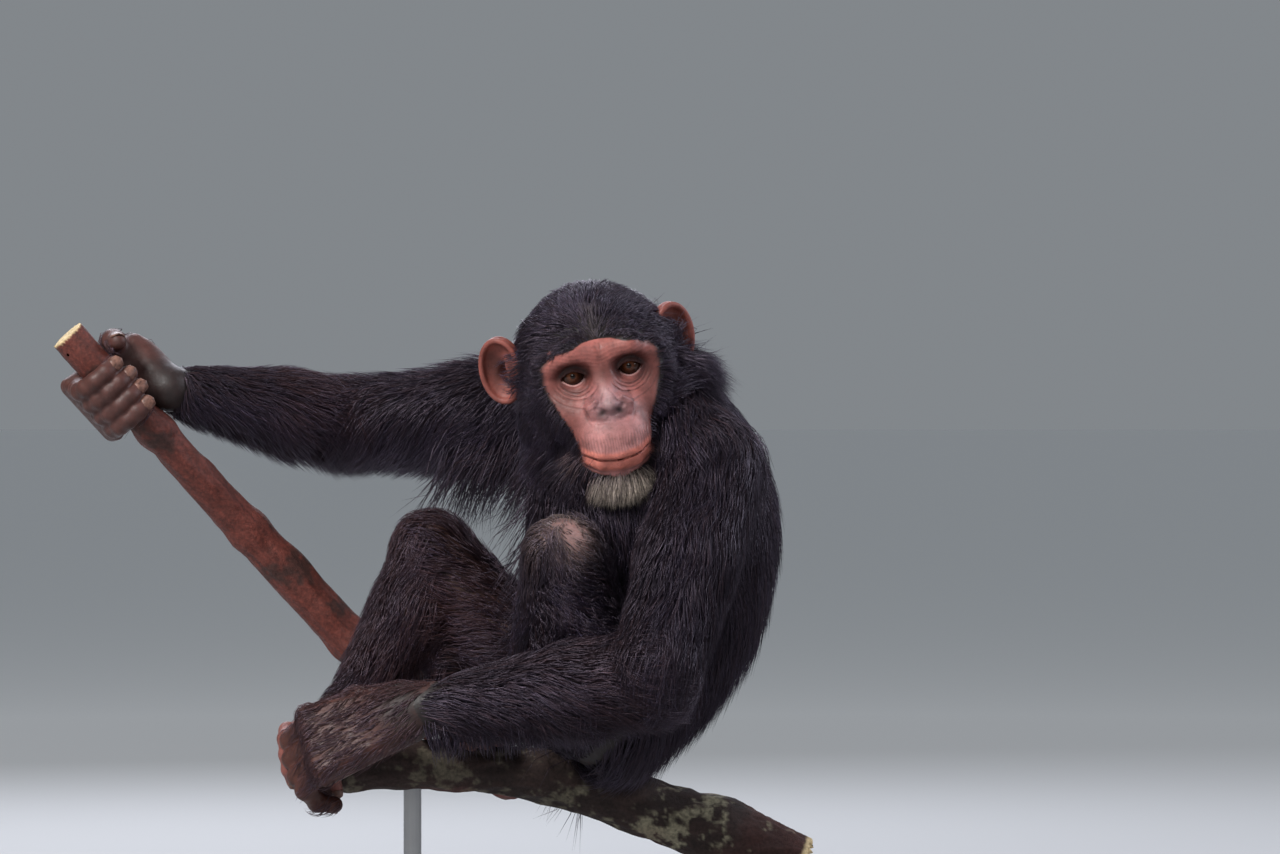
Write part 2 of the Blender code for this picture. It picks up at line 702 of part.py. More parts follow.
def formed(name, field, low, high, step, triangles):
    """Make an object on the surface of a field."""
    points, faces = surface_net(field, low, high, step)
    return thinned(keep_largest(object_of(name, points, faces)), triangles)


def keep_largest(ob):
    """Keep only the largest closed surface of the mesh."""
    bm = bmesh.new()
    bm.from_mesh(ob.data)
    left = set(bm.faces)
    shells = []
    while left:
        seed = left.pop()
        shell = {seed}
        queue = [seed]
        while queue:
            for edge in queue.pop().edges:
                for face in edge.link_faces:
                    if face in left:
                        left.discard(face)
                        shell.add(face)
                        queue.append(face)
        shells.append(shell)
    shells.sort(key=lambda shell: sum(face.calc_area() for face in shell))
    for shell in shells[:-1]:
        bmesh.ops.delete(bm, geom=list(shell), context="FACES")
    bm.to_mesh(ob.data)
    bm.free()
    return ob


def copied(ob, name):
    """Return a second object with its own copy of the mesh."""
    return object_from(name, ob.data.copy())


def parted(ob, place, out):
    """Keep the side of a plane that out points to, with a flat face on the cut."""
    bm = bmesh.new()
    bm.from_mesh(ob.data)
    out = unit(out)
    flat = Vector(place + out * SEAM / 2)
    everything = bm.verts[:] + bm.edges[:] + bm.faces[:]
    bmesh.ops.bisect_plane(bm, geom=everything, dist=1e-6, plane_co=flat, plane_no=Vector(out),
                           clear_inner=True)
    bmesh.ops.holes_fill(bm, edges=[e for e in bm.edges if e.is_boundary], sides=0)
    bmesh.ops.triangulate(bm, faces=[f for f in bm.faces if len(f.verts) > 4])
    bm.to_mesh(ob.data)
    bm.free()
    return keep_largest(ob)


def grown(ob, amount):
    """Return a copy of the object moved out along its normals."""
    made = copied(ob, ob.name + "_grown")
    normals = [vertex.normal.copy() for vertex in made.data.vertices]
    for vertex, normal in zip(made.data.vertices, normals):
        vertex.co += normal * amount
    return made


def combined(ob, other, operation):
    """Apply a Boolean between two objects and remove the second."""
    cut = ob.modifiers.new("cut", "BOOLEAN")
    cut.operation = operation
    cut.object = other
    cut.solver = "EXACT"
    evaluated(ob)
    bpy.data.objects.remove(other)
    return keep_largest(ob)


def block_object(cut, inset, flip=False):
    """The exact block of a cut, with every side moved in by inset."""
    origin, out, half_wide, half_high, depth = cut
    wide, high, way = block_axes(-out if flip else out)
    points = []
    for along in (inset, depth - inset):
        for a, b in ((-1, -1), (1, -1), (1, 1), (-1, 1)):
            across = wide * (half_wide - inset) * a + high * (half_high - inset) * b
            points.append(origin + way * along + across)
    faces = [(0, 3, 2, 1), (4, 5, 6, 7), (0, 1, 5, 4), (1, 2, 6, 5), (2, 3, 7, 6), (3, 0, 4, 7)]
    return object_of("block", points, faces)


def finished(ob, name, look):
    """Name the object, give it its own material and shade it smooth."""
    ob.name = name
    ob.data.name = name
    ob.data.materials.clear()
    ob.data.materials.append(look)
    ob.data.shade_smooth()
    ob.data.set_sharp_from_angle(angle=math.radians(50))
    return ob


# Locks of the long coat: a blade has a ring at each of these shares of its length, so
# wide and so thick there, and ends in a point. Its root is sunk in the core, and from
# the second ring on it rises to the full depth of the coat at its tip.
LOCK_SHARES = (0.0, 0.20, 0.58)
LOCK_WIDTHS = (0.38, 0.80, 1.00)
LOCK_THICKNESSES = (0.0036, 0.0032, 0.0026)
LOCK_RISES = (0.0, 0.0, 0.48)
LOCK_SINK = 0.0050
LOCK_LIFT = 0.0030
LOCK_STEP_ALONG = 0.62
LOCK_STEP_ACROSS = 1.06
LOCK_GAP = 0.0004
LOCK_KEEPS = (1.0, 0.8, 0.62)
LOCK_FACES = [(0, 3, 1), (1, 3, 2)]
for ring in (0, 4):
    left, top, right, under = range(ring, ring + 4)
    for side, first, second in ((left, under, top), (right, top, under)):
        LOCK_FACES.append((side, second, second + 4))
        LOCK_FACES.append((side, second + 4, side + 4))
        LOCK_FACES.append((first, side, first + 4))
        LOCK_FACES.append((side, side + 4, first + 4))
for corner in range(4):
    LOCK_FACES.append((8 + corner, 8 + (corner + 1) % 4, 12))
COMB_STEPS = 8
CHANCE = np.random.default_rng(5)


def body_field(p):
    """Everything that the coat lies over."""
    parts = [
        trunk_field(p),
        head_field(p),
        arm_field(p, SHOULDER_L, ELBOW_L, WRIST_L),
        arm_field(p, SHOULDER_R, ELBOW_R, WRIST_R),
        leg_field(p, HIP_L, KNEE_L, ANKLE_L, SAG_L),
        leg_field(p, HIP_R, KNEE_R, ANKLE_R, SAG_R),
        perch_field(p),
    ]
    return np.minimum.reduce(parts)


def row_units(rows):
    """Return each row at length one."""
    return rows / np.maximum(np.linalg.norm(rows, axis=1), 1e-9)[:, None]


def way_out(field, p):
    """Return the way out of a field at each point."""
    nudge = 0.0008
    return row_units(np.stack([field(p + axis * nudge) - field(p - axis * nudge) for axis in np.eye(3)], 1))


def onto(field, p):
    """Move the points onto the field's surface."""
    for _ in range(3):
        p = p - way_out(field, p) * field(p)[:, None]
    return p


def cast(field, starts, ways):
    """Follow rays to the field's surface and return where those that meet it end."""
    p = starts
    for _ in range(40):
        p = p + ways * field(p)[:, None] * 0.8
    return p[np.abs(field(p)) < 0.001]


def round_bone(a, b, shares, around, reach):
    """Roots in rings round the line from a to b, each ring turned half a step from the last."""
    along = unit(b - a)
    u = unit(np.cross(along, vec(0.3, 1.0, 0.2)))
    v = np.cross(along, u)
    starts = []
    ways = []
    for number, share in enumerate(shares):
        for place in range(around):
            turn = place + 0.5 * (number % 2) + CHANCE.uniform(-0.12, 0.12)
            angle = 2 * math.pi * turn / around
            way = u * math.cos(angle) + v * math.sin(angle)
            starts.append(a + (b - a) * (share + CHANCE.uniform(-0.015, 0.015)) + way * reach)
            ways.append(-way)
    return cast(body_field, np.array(starts), np.array(ways))


def combed(roots, lie, lengths):
    """Paths from the roots over the body, along the way that lie gives at each point."""
    path = [roots]
    for _ in range(COMB_STEPS):
        out = way_out(body_field, path[-1])
        ahead = lie(path[-1])
        ahead = row_units(ahead - out * (ahead * out).sum(1)[:, None])
        path.append(onto(body_field, path[-1] + ahead * lengths[:, None] / COMB_STEPS))
    return np.stack(path, 1)


def on_paths(paths, share):
    """Return the point of each path at a share of its length, and the way it runs there."""
    step = min(int(share * COMB_STEPS), COMB_STEPS - 1)
    run = paths[:, step + 1] - paths[:, step]
    return paths[:, step] + run * (share * COMB_STEPS - step), row_units(run)


def blades(paths, widths, depths, keep, swell):
    """Corner points of every lock, four round each ring and then its tip."""
    corners = []
    for share, wide, thick, rise in zip(LOCK_SHARES, LOCK_WIDTHS, LOCK_THICKNESSES, LOCK_RISES):
        centre, ahead = on_paths(paths, keep * share)
        out = way_out(body_field, centre)
        side = row_units(np.cross(ahead, out))
        half = widths[:, None] * wide / 2 + swell
        height = LOCK_LIFT + (depths[:, None] * keep - LOCK_LIFT) * rise
        if share == 0:
            height = height * 0 - LOCK_SINK
        edges = []
        for sign in (-1, 1):
            edge = onto(body_field, centre + side * half * sign)
            edges.append(edge + way_out(body_field, edge) * (height - 0.0006))
        thick = thick / 2 + swell
        corners += [edges[0], centre + out * (height + thick), edges[1], centre + out * (height - thick)]
    tip, ahead = on_paths(paths, keep)
    corners.append(tip + way_out(body_field, tip) * depths[:, None] * keep + ahead * swell)
    return np.stack(corners, 1)


def tree_of(points, faces):
    """Return a search tree over the triangles."""
    return BVHTree.FromPolygons([tuple(p) for p in points], [tuple(f) for f in faces], all_triangles=True)


def tree_of_object(ob):
    """Return a search tree over an object's mesh."""
    points = [v.co for v in ob.data.vertices]
    return BVHTree.FromPolygons(points, [tuple(f.vertices) for f in ob.data.polygons])


def sunk_in(tree, points):
    """Whether the points all lie inside the closed mesh of the tree."""
    for point in points:
        place, normal, _, far = tree.find_nearest(Vector(point))
        if (Vector(point) - place).dot(normal) > 0 or far < 0.0012:
            return False
    return True


class Coat:
    """Grows the locks of one piece after another, each clear of every other piece."""

    def __init__(self):
        self.trees = {ob.name: [tree_of_object(ob)] for ob in bpy.data.objects}

    def clear_of_others(self, name, lock):
        """Whether the lock crosses no other piece and none of its locks."""
        others = (tree for other, trees in self.trees.items() if other != name for tree in trees)
        return not any(tree.overlap(lock) for tree in others)

    def grow(self, name, groups):
        """Root the groups' locks in the named piece and join them to it."""
        body = self.trees[name][0]
        locks = []
        for roots, lie, length, width, depth in groups:
            roots = roots[body_field(roots) > -0.0015]
            if len(roots) == 0:
                continue
            lengths = length * CHANCE.uniform(0.88, 1.12, len(roots))
            widths = width * CHANCE.uniform(0.90, 1.08, len(roots))
            depths = depth * CHANCE.uniform(0.80, 1.0, len(roots))
            paths = combed(roots, lie, lengths)
            shapes = []
            for keep in LOCK_KEEPS:
                real = blades(paths, widths, depths, keep, 0.0)
                shapes.append((real, blades(paths, widths, depths, keep, LOCK_GAP)))
            taken = []
            for number, root in enumerate(roots):
                ahead = unit(paths[number, 1] - root)
                if any(too_near(root, other, ahead, length, width) for other in taken):
                    continue
                for real, wide in shapes:
                    rooted = sunk_in(body, real[number, :4])
                    if rooted and self.clear_of_others(name, tree_of(wide[number], LOCK_FACES)):
                        locks.append(real[number])
                        self.trees[name].append(tree_of(real[number], LOCK_FACES))
                        taken.append(root)
                        break
        return with_locks(bpy.data.objects[name], locks)


def too_near(root, other, ahead, length, width):
    """Whether two roots are closer than the locks' spacing along and across the lie."""
    gap = root - other
    along = gap @ ahead
    across = math.sqrt(max(gap @ gap - along * along, 0))
    return math.hypot(along / (LOCK_STEP_ALONG * length), across / (LOCK_STEP_ACROSS * width)) < 1


def with_locks(ob, locks):
    """Join locks to an object in one Boolean union."""
    group = bpy.data.collections.new("locks")
    bpy.context.scene.collection.children.link(group)
    for corners in locks:
        lock = object_of("lock", corners, LOCK_FACES)
        bpy.context.collection.objects.unlink(lock)
        group.objects.link(lock)
    fuse = ob.modifiers.new("locks", "BOOLEAN")
    fuse.operation = "UNION"
    fuse.operand_type = "COLLECTION"
    fuse.collection = group
    fuse.solver = "MANIFOLD"
    evaluated(ob)
    for lock in list(group.objects):
        bpy.data.objects.remove(lock)
    bpy.data.collections.remove(group)
    return keep_largest(ob)


NAPE = vec(-0.010, 0.020, 0.640)


def trunk_lie(p):
    """Hair of the trunk runs down and away from the nape."""
    return row_units(p - NAPE) - vec(0, 0, 0.35)


def bone_lie(a, b, hang):
    """Hair of a limb runs from a towards b and hangs a little."""
    way = unit(b - a) - vec(0, 0, hang)
    return lambda p: np.tile(way, (len(p), 1))


FOCUS = head_place(0, 0.064, 0.030)


def head_lie(p):
    """Hair of the head runs away from the brow."""
    return row_units(p - FOCUS) - vec(0, 0, 0.15)


def round_head(tilts, around):
    """Roots in rings round the way the brow faces, none on the bare face."""
    ahead = unit(vec(0, 0.85, 0.35) @ HEAD_AXES)
    u = unit(np.cross(ahead, vec(0, 0, 1)))
    v = np.cross(u, ahead)
    middle = head_place(0, -0.012, 0.004)
    starts = []
    ways = []
    for number, tilt in enumerate(tilts):
        for place in range(around):
            angle = 2 * math.pi * (place + 0.5 * (number % 2)) / around
            way = ahead * math.cos(math.radians(tilt))
            way = way + (u * math.sin(angle) + v * math.cos(angle)) * math.sin(math.radians(tilt))
            starts.append(middle + way * 0.16)
            ways.append(-way)
    roots = cast(head_field, np.array(starts), np.array(ways))
    hairy = head_hair((roots - HEAD) @ HEAD_AXES.T) > 0.5 * COAT_CROWN * CORE_SHARE
    return roots[hairy]


def beard_roots():
    """Roots along the chin."""
    starts = np.array([head_place(x, 0.078, -0.098) for x in (-0.024, -0.012, 0.0, 0.012, 0.024)])
    ways = np.array([unit(head_place(0, 0.045, -0.075) - start) for start in starts])
    return cast(head_field, starts, ways)


# The long hair that hangs under the right armpit
ARMPIT_HAIR = 0.026


def grow_coat():
    """Grow the locks of every piece that has long hair."""
    coat = Coat()
    rest = 1 - CORE_SHARE
    coat.grow("head", [
        (round_head((38, 60, 84, 108, 132), 14), head_lie, 0.052, 0.045, COAT_CHEEK * rest),
        (beard_roots(), lambda p: np.tile(vec(0, -0.35, -1.0), (len(p), 1)), 0.028, 0.014, COAT_CHEEK * rest),
    ])
    spine = (vec(0.006, 0.028, 0.570), vec(-0.004, 0.030, 0.262))
    back = round_bone(*spine, np.linspace(0.0, 0.94, 10), 18, 0.22)
    girdle = round_bone(NECK_BASE, SHOULDER_R, (0.3, 0.6, 0.9), 8, 0.12)
    coat.grow("torso", [
        (back, trunk_lie, 0.094, 0.063, COAT_BACK * rest),
        (girdle, trunk_lie, 0.072, 0.053, COAT_SHOULDER * rest),
    ])
    nape = round_bone(NECK_BASE, NECK_TOP, (0.0, 0.4, 0.8), 8, 0.12)
    coat.grow("neck", [(nape, trunk_lie, 0.052, 0.038, COAT_NECK * rest)])
    for side, shoulder, elbow, wrist in (("left", SHOULDER_L, ELBOW_L, WRIST_L),
                                         ("right", SHOULDER_R, ELBOW_R, WRIST_R)):
        upper = round_bone(shoulder, elbow, (-0.16, 0.02, 0.20, 0.38, 0.56, 0.74), 8, 0.12)
        locks = [(upper, bone_lie(shoulder, elbow, 0.30), 0.084, 0.053, COAT_UPPER_ARM * rest)]
        if side == "right":
            under = upper[upper[:, 2] < shoulder[2] - 0.030]
            locks.insert(0, (under, bone_lie(shoulder, elbow, 3.0), 0.064, 0.034, ARMPIT_HAIR))
        coat.grow(f"upper_arm_{side}", locks)
        lower = round_bone(elbow, wrist, (0.88, 0.68, 0.48, 0.28), 7, 0.12)
        coat.grow(f"forearm_{side}", [
            (lower, bone_lie(wrist, elbow, 0.35), 0.072, 0.047, COAT_FOREARM * rest),
        ])
    for side, hip, knee, ankle in (("left", HIP_L, KNEE_L, ANKLE_L), ("right", HIP_R, KNEE_R, ANKLE_R)):
        upper = round_bone(hip, knee, (0.20, 0.42, 0.64, 0.84), 8, 0.12)
        coat.grow(f"thigh_{side}", [(upper, bone_lie(hip, knee, 0.5), 0.064, 0.051, COAT_THIGH * rest)])
        lower = round_bone(knee, ankle, (0.0, 0.22, 0.44, 0.66), 7, 0.12)
        coat.grow(f"shin_{side}", [(lower, bone_lie(knee, ankle, 0.2), 0.068, 0.045, COAT_SHIN * rest)])


BLACK_COAT = (0.022, 0.019, 0.024)
BROWN_SKIN = (0.19, 0.085, 0.058)
PINK_SKIN = (0.36, 0.17, 0.12)
BARK = (0.13, 0.095, 0.070)
RED_WOOD = (0.20, 0.085, 0.050)
STAND_GREY = (0.30, 0.30, 0.31)


def make_perch():
    """Make the branch and the limb that rises from it, set against its bark."""
    branch = formed("branch", branch_field, (-0.34, -0.06, 0.05), (0.22, 0.10, 0.26), 0.005, 380)
    parted(branch, BRANCH[0], BRANCH[1] - BRANCH[0])
    parted(branch, BRANCH[-1], BRANCH[-2] - BRANCH[-1])
    limb = formed("limb", limb_field, (-0.58, -0.02, 0.15), (-0.06, 0.20, 0.66), 0.005, 310)
    parted(limb, LIMB[-1], LIMB[-2] - LIMB[-1])
    combined(limb, grown(branch, SEAM), "DIFFERENCE")
    finished(branch, "perch_branch", material("bark", BARK, 0.85))
    finished(limb, "perch_limb", material("reddish_wood", RED_WOOD, 0.65))
    return branch, limb


def make_stand(branch):
    """Make the flat base and the two rods up to the branch."""
    grey = material("stand_grey", STAND_GREY, 0.45)
    bm = bmesh.new()
    size = Matrix.Diagonal((BASE_LENGTH, BASE_WIDTH, BASE_THICKNESS, 1))
    place = Matrix.Translation(Vector(BASE_CENTRE) + Vector((0, 0, BASE_THICKNESS / 2)))
    bmesh.ops.create_cube(bm, size=1, matrix=place @ size)
    upright = [e for e in bm.edges if abs(e.verts[0].co.z - e.verts[1].co.z) > BASE_THICKNESS / 2]
    bmesh.ops.bevel(bm, geom=upright, offset=BASE_CORNER, segments=5, affect="EDGES", profile=0.5)
    mesh = bpy.data.meshes.new("stand_base")
    bm.to_mesh(mesh)
    bm.free()
    finished(object_from("stand_base", mesh), "stand_base", grey)
    for number, place in enumerate(ROD_PLACES, 1):
        bm = bmesh.new()
        foot = BASE_THICKNESS + SEAM
        length = BRANCH[0][2] - foot
        centre = Matrix.Translation((place[0], place[1], foot + length / 2))
        bmesh.ops.create_cone(bm, cap_ends=True, segments=16, radius1=ROD_RADIUS,
                              radius2=ROD_RADIUS, depth=length, matrix=centre)
        mesh = bpy.data.meshes.new("rod")
        bm.to_mesh(mesh)
        bm.free()
        rod = combined(object_from("rod", mesh), grown(branch, SEAM), "DIFFERENCE")
        name = f"stand_rod_{number}"
        finished(parted(rod, vec(0, 0, foot - SEAM / 2), vec(0, 0, 1)), name, material(name, STAND_GREY, 0.4))


def make_head():
    """Make the head, with a hollow for each eyeball."""
    look = material("face_skin", BROWN_SKIN, 0.55)
    head = formed("head", head_field, (-0.16, -0.16, 0.44), (0.10, 0.10, 0.68), 0.0022, 2000)
    for side, name in ((1, "eye_left"), (-1, "eye_right")):
        combined(head, eye_object(side, EYE_RADIUS + SEAM), "DIFFERENCE")
        finished(eye_object(side, EYE_RADIUS), name, material(name, (0.09, 0.035, 0.015), 0.08))
    return finished(head, "head", look)


def eye_object(side, radius):
    """An eyeball with its pole to the front."""
    bm = bmesh.new()
    turn = Matrix([list(row) for row in HEAD_AXES]).transposed().to_4x4()
    place = Matrix.Translation(Vector(head_place(side * EYE[0], EYE[1], EYE[2])))
    tip = Matrix.Rotation(math.radians(90), 4, "X")
    bmesh.ops.create_uvsphere(bm, u_segments=10, v_segments=7, radius=radius, matrix=place @ turn @ tip)
    bmesh.ops.recalc_face_normals(bm, faces=bm.faces)
    mesh = bpy.data.meshes.new("eye")
    bm.to_mesh(mesh)
    bm.free()
    return object_from("eye", mesh)


# Ears: centre beside the head in its own frame, and how each cup faces
EAR_TALL = 0.031
EAR_WIDE = 0.021
EAR_DEEP = 0.011
EAR_LEFT = vec(0.0730, -0.010, 0.0080)
EAR_RIGHT = vec(-0.0840, -0.010, 0.0060)


def ear_field(p, centre, side):
    """A cupped ear: a thin bowl with a rolled rim, open to the front."""
    q = (p - HEAD) @ HEAD_AXES.T - centre
    swing = math.radians(-28) * side
    c = math.cos(swing)
    s = math.sin(swing)
    q = np.stack([c * q[:, 0] + s * q[:, 1], -s * q[:, 0] + c * q[:, 1], q[:, 2]], 1)
    outer = ellipsoid(q, (0, -0.003, 0), (EAR_WIDE, EAR_DEEP, EAR_TALL))
    inner = ellipsoid(q, (0, 0.006, 0), (EAR_WIDE - 0.0035, EAR_DEEP, EAR_TALL - 0.0040))
    bowl = carve(np.maximum(outer, q[:, 1] - 0.0035), inner, 0.0015)
    angle = np.arctan2(q[:, 2] / EAR_TALL, q[:, 0] / EAR_WIDE)
    rim = np.stack([
        np.cos(angle) * (EAR_WIDE - 0.0028),
        np.full(len(q), 0.0025),
        np.sin(angle) * (EAR_TALL - 0.0028),
    ], 1)
    roll = np.linalg.norm(q - rim, axis=1) - 0.0032
    root = capsule(q, vec(-side * 0.012, -0.004, 0.004), vec(-side * 0.030, -0.006, -0.002), 0.0095, 0.0120)
    ear = join(join(bowl, roll, 0.002), root, 0.006)
    fold = capsule(q, vec(-side * 0.010, 0.001, -0.012), vec(-side * 0.004, 0.000, 0.012), 0.0030, 0.0024)
    return join(ear, fold, 0.003)


def make_ears(head, neck):
    """Make both ears, their roots cut flush with the side of the head."""
    for centre, side, name in ((EAR_LEFT, 1, "ear_left"), (EAR_RIGHT, -1, "ear_right")):
        middle = head_place(*centre)
        reach = vec(0.045, 0.045, 0.045)
        ear = formed(name, lambda p: ear_field(p, centre, side), middle - reach, middle + reach, 0.0018, 330)
        combined(ear, grown(head, SEAM), "DIFFERENCE")
        combined(ear, grown(neck, SEAM), "DIFFERENCE")
        finished(ear, name, material(name, (0.33, 0.15, 0.10), 0.6))


def make_trunk(head, branch):
    """Make the torso and the neck, shaped to the head and to the branch."""
    whole = formed("trunk", trunk_part, (-0.16, -0.18, 0.16), (0.20, 0.24, 0.66), 0.007, 1050)
    for cut in (SHOULDER_L_CUT, SHOULDER_R_CUT):
        combined(whole, block_object(cut, -SEAM / 2), "DIFFERENCE")
    combined(whole, grown(head, SEAM), "DIFFERENCE")
    neck = combined(copied(whole, "neck"), block_object(NECK_CUT, SEAM / 2), "INTERSECT")
    torso = combined(whole, block_object(NECK_CUT, -SEAM / 2), "DIFFERENCE")
    combined(torso, grown(branch, SEAM), "DIFFERENCE")
    finished(torso, "torso", material("torso_coat", BLACK_COAT, 0.6))
    finished(neck, "neck", material("neck_coat", BLACK_COAT, 0.6))
    return torso, neck


def bend_plane(a, b, c):
    """Return the way across a joint, halfway between the bones that meet there."""
    return unit(unit(b - a) + unit(c - b))


def make_limb(field, joints, names, box, triangles, cutters):
    """Make a limb in three pieces, parted at its two joints."""
    low, high = box
    whole = formed(names[0], field, low, high, 0.0032, triangles)
    for cutter in cutters:
        combined(whole, cutter, "DIFFERENCE")
    root, middle, end = joints
    first_way = bend_plane(root, middle, end)
    last_way = unit(end - middle)
    rest = parted(copied(whole, "rest"), middle, first_way)
    first = parted(whole, middle, -first_way)
    last = parted(copied(rest, "last"), end, last_way)
    second = parted(rest, end, -last_way)
    for ob, name, look in zip((first, second, last), names, (BLACK_COAT, BLACK_COAT, BROWN_SKIN)):
        finished(ob, name, material(name, look, 0.6))


def make_limbs(torso, branch, limb):
    """Make both arms and both legs."""
    make_limb(arm_left_part, (SHOULDER_L, ELBOW_L, WRIST_L),
              ("upper_arm_left", "forearm_left", "hand_left"),
              ((-0.40, -0.24, 0.14), (0.16, 0.02, 0.60)), 1150,
              [block_object(SHOULDER_L_CUT, -SEAM / 2, flip=True)])
    make_limb(arm_right_part, (SHOULDER_R, ELBOW_R, WRIST_R),
              ("upper_arm_right", "forearm_right", "hand_right"),
              ((-0.58, -0.06, 0.42), (0.04, 0.30, 0.66)), 1150,
              [block_object(SHOULDER_R_CUT, -SEAM / 2, flip=True), grown(limb, SEAM)])
    for field, joints, names, box in (
        (leg_left, (HIP_L, KNEE_L, ANKLE_L), ("thigh_left", "shin_left", "foot_left"),
         ((-0.26, -0.18, 0.14), (0.06, 0.12, 0.48))),
        (leg_right_part, (HIP_R, KNEE_R, ANKLE_R), ("thigh_right", "shin_right", "foot_right"),
         ((-0.36, -0.10, 0.14), (0.04, 0.18, 0.48))),
    ):
        cutters = [grown(torso, SEAM), grown(branch, SEAM), grown(limb, SEAM)]
        make_limb(field, joints, names, box, 1150, cutters)


def main():
    """Build the whole model."""
    for ob in list(bpy.data.objects):
        bpy.data.objects.remove(ob)
    branch, limb = make_perch()
    make_stand(branch)
    head = make_head()
    torso, neck = make_trunk(head, branch)
    make_ears(head, neck)
    make_limbs(torso, branch, limb)
    grow_coat()


main()
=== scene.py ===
"""Looks of the seated young chimpanzee: skin, coat, eyes, nails, perch, stand and stage.

Metres, +Z up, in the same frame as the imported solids. The skin is meshed from the
same rounds as the solids without the coat, and every tuft of the coat is combed
over it along the lie of the hair.
"""

import math

import bmesh
import bpy
import numpy as np
from bpy.props import FloatProperty, FloatVectorProperty, IntProperty, PointerProperty
from mathutils import Matrix, Vector
from mathutils.kdtree import KDTree


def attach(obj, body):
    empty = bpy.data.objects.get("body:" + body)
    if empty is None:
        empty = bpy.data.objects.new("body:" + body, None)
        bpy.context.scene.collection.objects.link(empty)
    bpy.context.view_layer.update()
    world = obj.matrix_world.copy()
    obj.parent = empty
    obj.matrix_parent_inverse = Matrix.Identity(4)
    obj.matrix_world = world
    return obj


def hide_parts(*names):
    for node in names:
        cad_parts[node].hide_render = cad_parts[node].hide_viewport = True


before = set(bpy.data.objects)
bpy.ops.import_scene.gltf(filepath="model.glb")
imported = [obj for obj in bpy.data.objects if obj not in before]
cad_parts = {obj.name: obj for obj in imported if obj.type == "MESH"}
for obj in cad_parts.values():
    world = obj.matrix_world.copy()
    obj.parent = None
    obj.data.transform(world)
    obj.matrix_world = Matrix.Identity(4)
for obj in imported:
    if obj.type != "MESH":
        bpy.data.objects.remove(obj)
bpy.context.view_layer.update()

bl_info = {
    "name": "Seated chimpanzee",
    "version": (1, 0, 0),
    "blender": (4, 5, 0),
    "location": "View3D > Sidebar > Chimpanzee",
    "description": "Skin, coat, eyes, nails, perch, stand and stage of a seated young chimpanzee",
    "category": "Object",
}


def vec(x, y, z):
    """Return a point or direction as an array."""
    return np.array((x, y, z), float)


# Depth of the coat at its tips, by region
COAT_BACK = 0.024
COAT_FRONT = 0.012
COAT_SHOULDER = 0.017
COAT_NECK = 0.014
COAT_UPPER_ARM = 0.014
COAT_FOREARM = 0.012
COAT_THIGH = 0.011
COAT_SHIN = 0.011
COAT_CROWN = 0.008
COAT_CHEEK = 0.015

# Joints of the skeleton
SHOULDER_L = vec(0.0640, -0.058, 0.480)
ELBOW_L = vec(0.0132, -0.138, 0.303)
WRIST_L = vec(-0.2037, -0.086, 0.2640)
SHOULDER_R = vec(-0.0620, 0.130, 0.534)
ELBOW_R = vec(-0.2730, 0.190, 0.524)
WRIST_R = vec(-0.4300, 0.076, 0.551)
HIP_L = vec(-0.0340, -0.018, 0.258)
KNEE_L = vec(-0.0680, -0.100, 0.404)
ANKLE_L = vec(-0.1000, 0.032, 0.267)
HIP_R = vec(-0.0500, 0.078, 0.258)
KNEE_R = vec(-0.1896, 0.063, 0.404)
ANKLE_R = vec(-0.2640, 0.045, 0.262)
NECK_BASE = vec(0.0040, 0.020, 0.520)
NECK_TOP = vec(-0.0280, 0.008, 0.562)

# Head: its centre, how far it is tilted down, over and round, its eyes, how far below
# its centre the mouth lies and how strongly it curves up, and its ears
HEAD = vec(-0.0395, -0.020, 0.5745)
HEAD_DOWN = math.radians(16)
HEAD_OVER = math.radians(11)
HEAD_ROUND = math.radians(3.5)
EYE = vec(0.0255, 0.0490, 0.0040)
EYE_RADIUS = 0.0105
IRIS_RADIUS = 0.0064
MOUTH_HEIGHT = 0.0648
MOUTH_CURVE = 6.2
EAR_TALL = 0.031
EAR_WIDE = 0.021
EAR_DEEP = 0.011
EAR_LEFT = vec(0.0730, -0.010, 0.0080)
EAR_RIGHT = vec(-0.0840, -0.010, 0.0060)

# Perch: centre lines and radii of the branch and of the limb that rises from it
BRANCH = [
    vec(-0.2952, 0.000, 0.2073),
    vec(-0.2610, 0.000, 0.2109),
    vec(-0.1713, 0.010, 0.2112),
    vec(-0.0904, 0.018, 0.2015),
    vec(0.0000, 0.026, 0.1740),
    vec(0.0724, 0.028, 0.1500),
    vec(0.1500, 0.030, 0.1150),
]
BRANCH_RADII = [0.0210, 0.0220, 0.0220, 0.0230, 0.0260, 0.0310, 0.0280]
LIMB = [
    vec(-0.1200, 0.030, 0.200),
    vec(-0.1850, 0.128, 0.262),
    vec(-0.2680, 0.148, 0.319),
    vec(-0.3605, 0.118, 0.421),
    vec(-0.4424, 0.066, 0.513),
    vec(-0.5200, 0.040, 0.600),
]
LIMB_RADII = [0.0220, 0.0205, 0.0200, 0.0190, 0.0165, 0.0155]


def unit(v):
    """Return v at length one."""
    v = np.asarray(v, float)
    return v / np.linalg.norm(v)


def rows_unit(rows):
    """Return each row at length one."""
    return rows / np.maximum(np.linalg.norm(rows, axis=1), 1e-9)[:, None]


def square_to(v, axis):
    """Return the part of v that is square to axis, at length one."""
    axis = unit(axis)
    return unit(v - axis * (axis @ v))


def turned(v, axis, angle):
    """Return v turned about axis."""
    axis = unit(axis)
    c = math.cos(angle)
    s = math.sin(angle)
    return v * c + np.cross(axis, v) * s + axis * (axis @ v) * (1 - c)


def smooth(x, low, high):
    """Rise from 0 at low to 1 at high."""
    t = np.clip((x - low) / (high - low), 0, 1)
    return t * t * (3 - 2 * t)


def ridge(x, width):
    """A rounded bump of height one round x = 0."""
    return np.exp(-(x / width) ** 2)


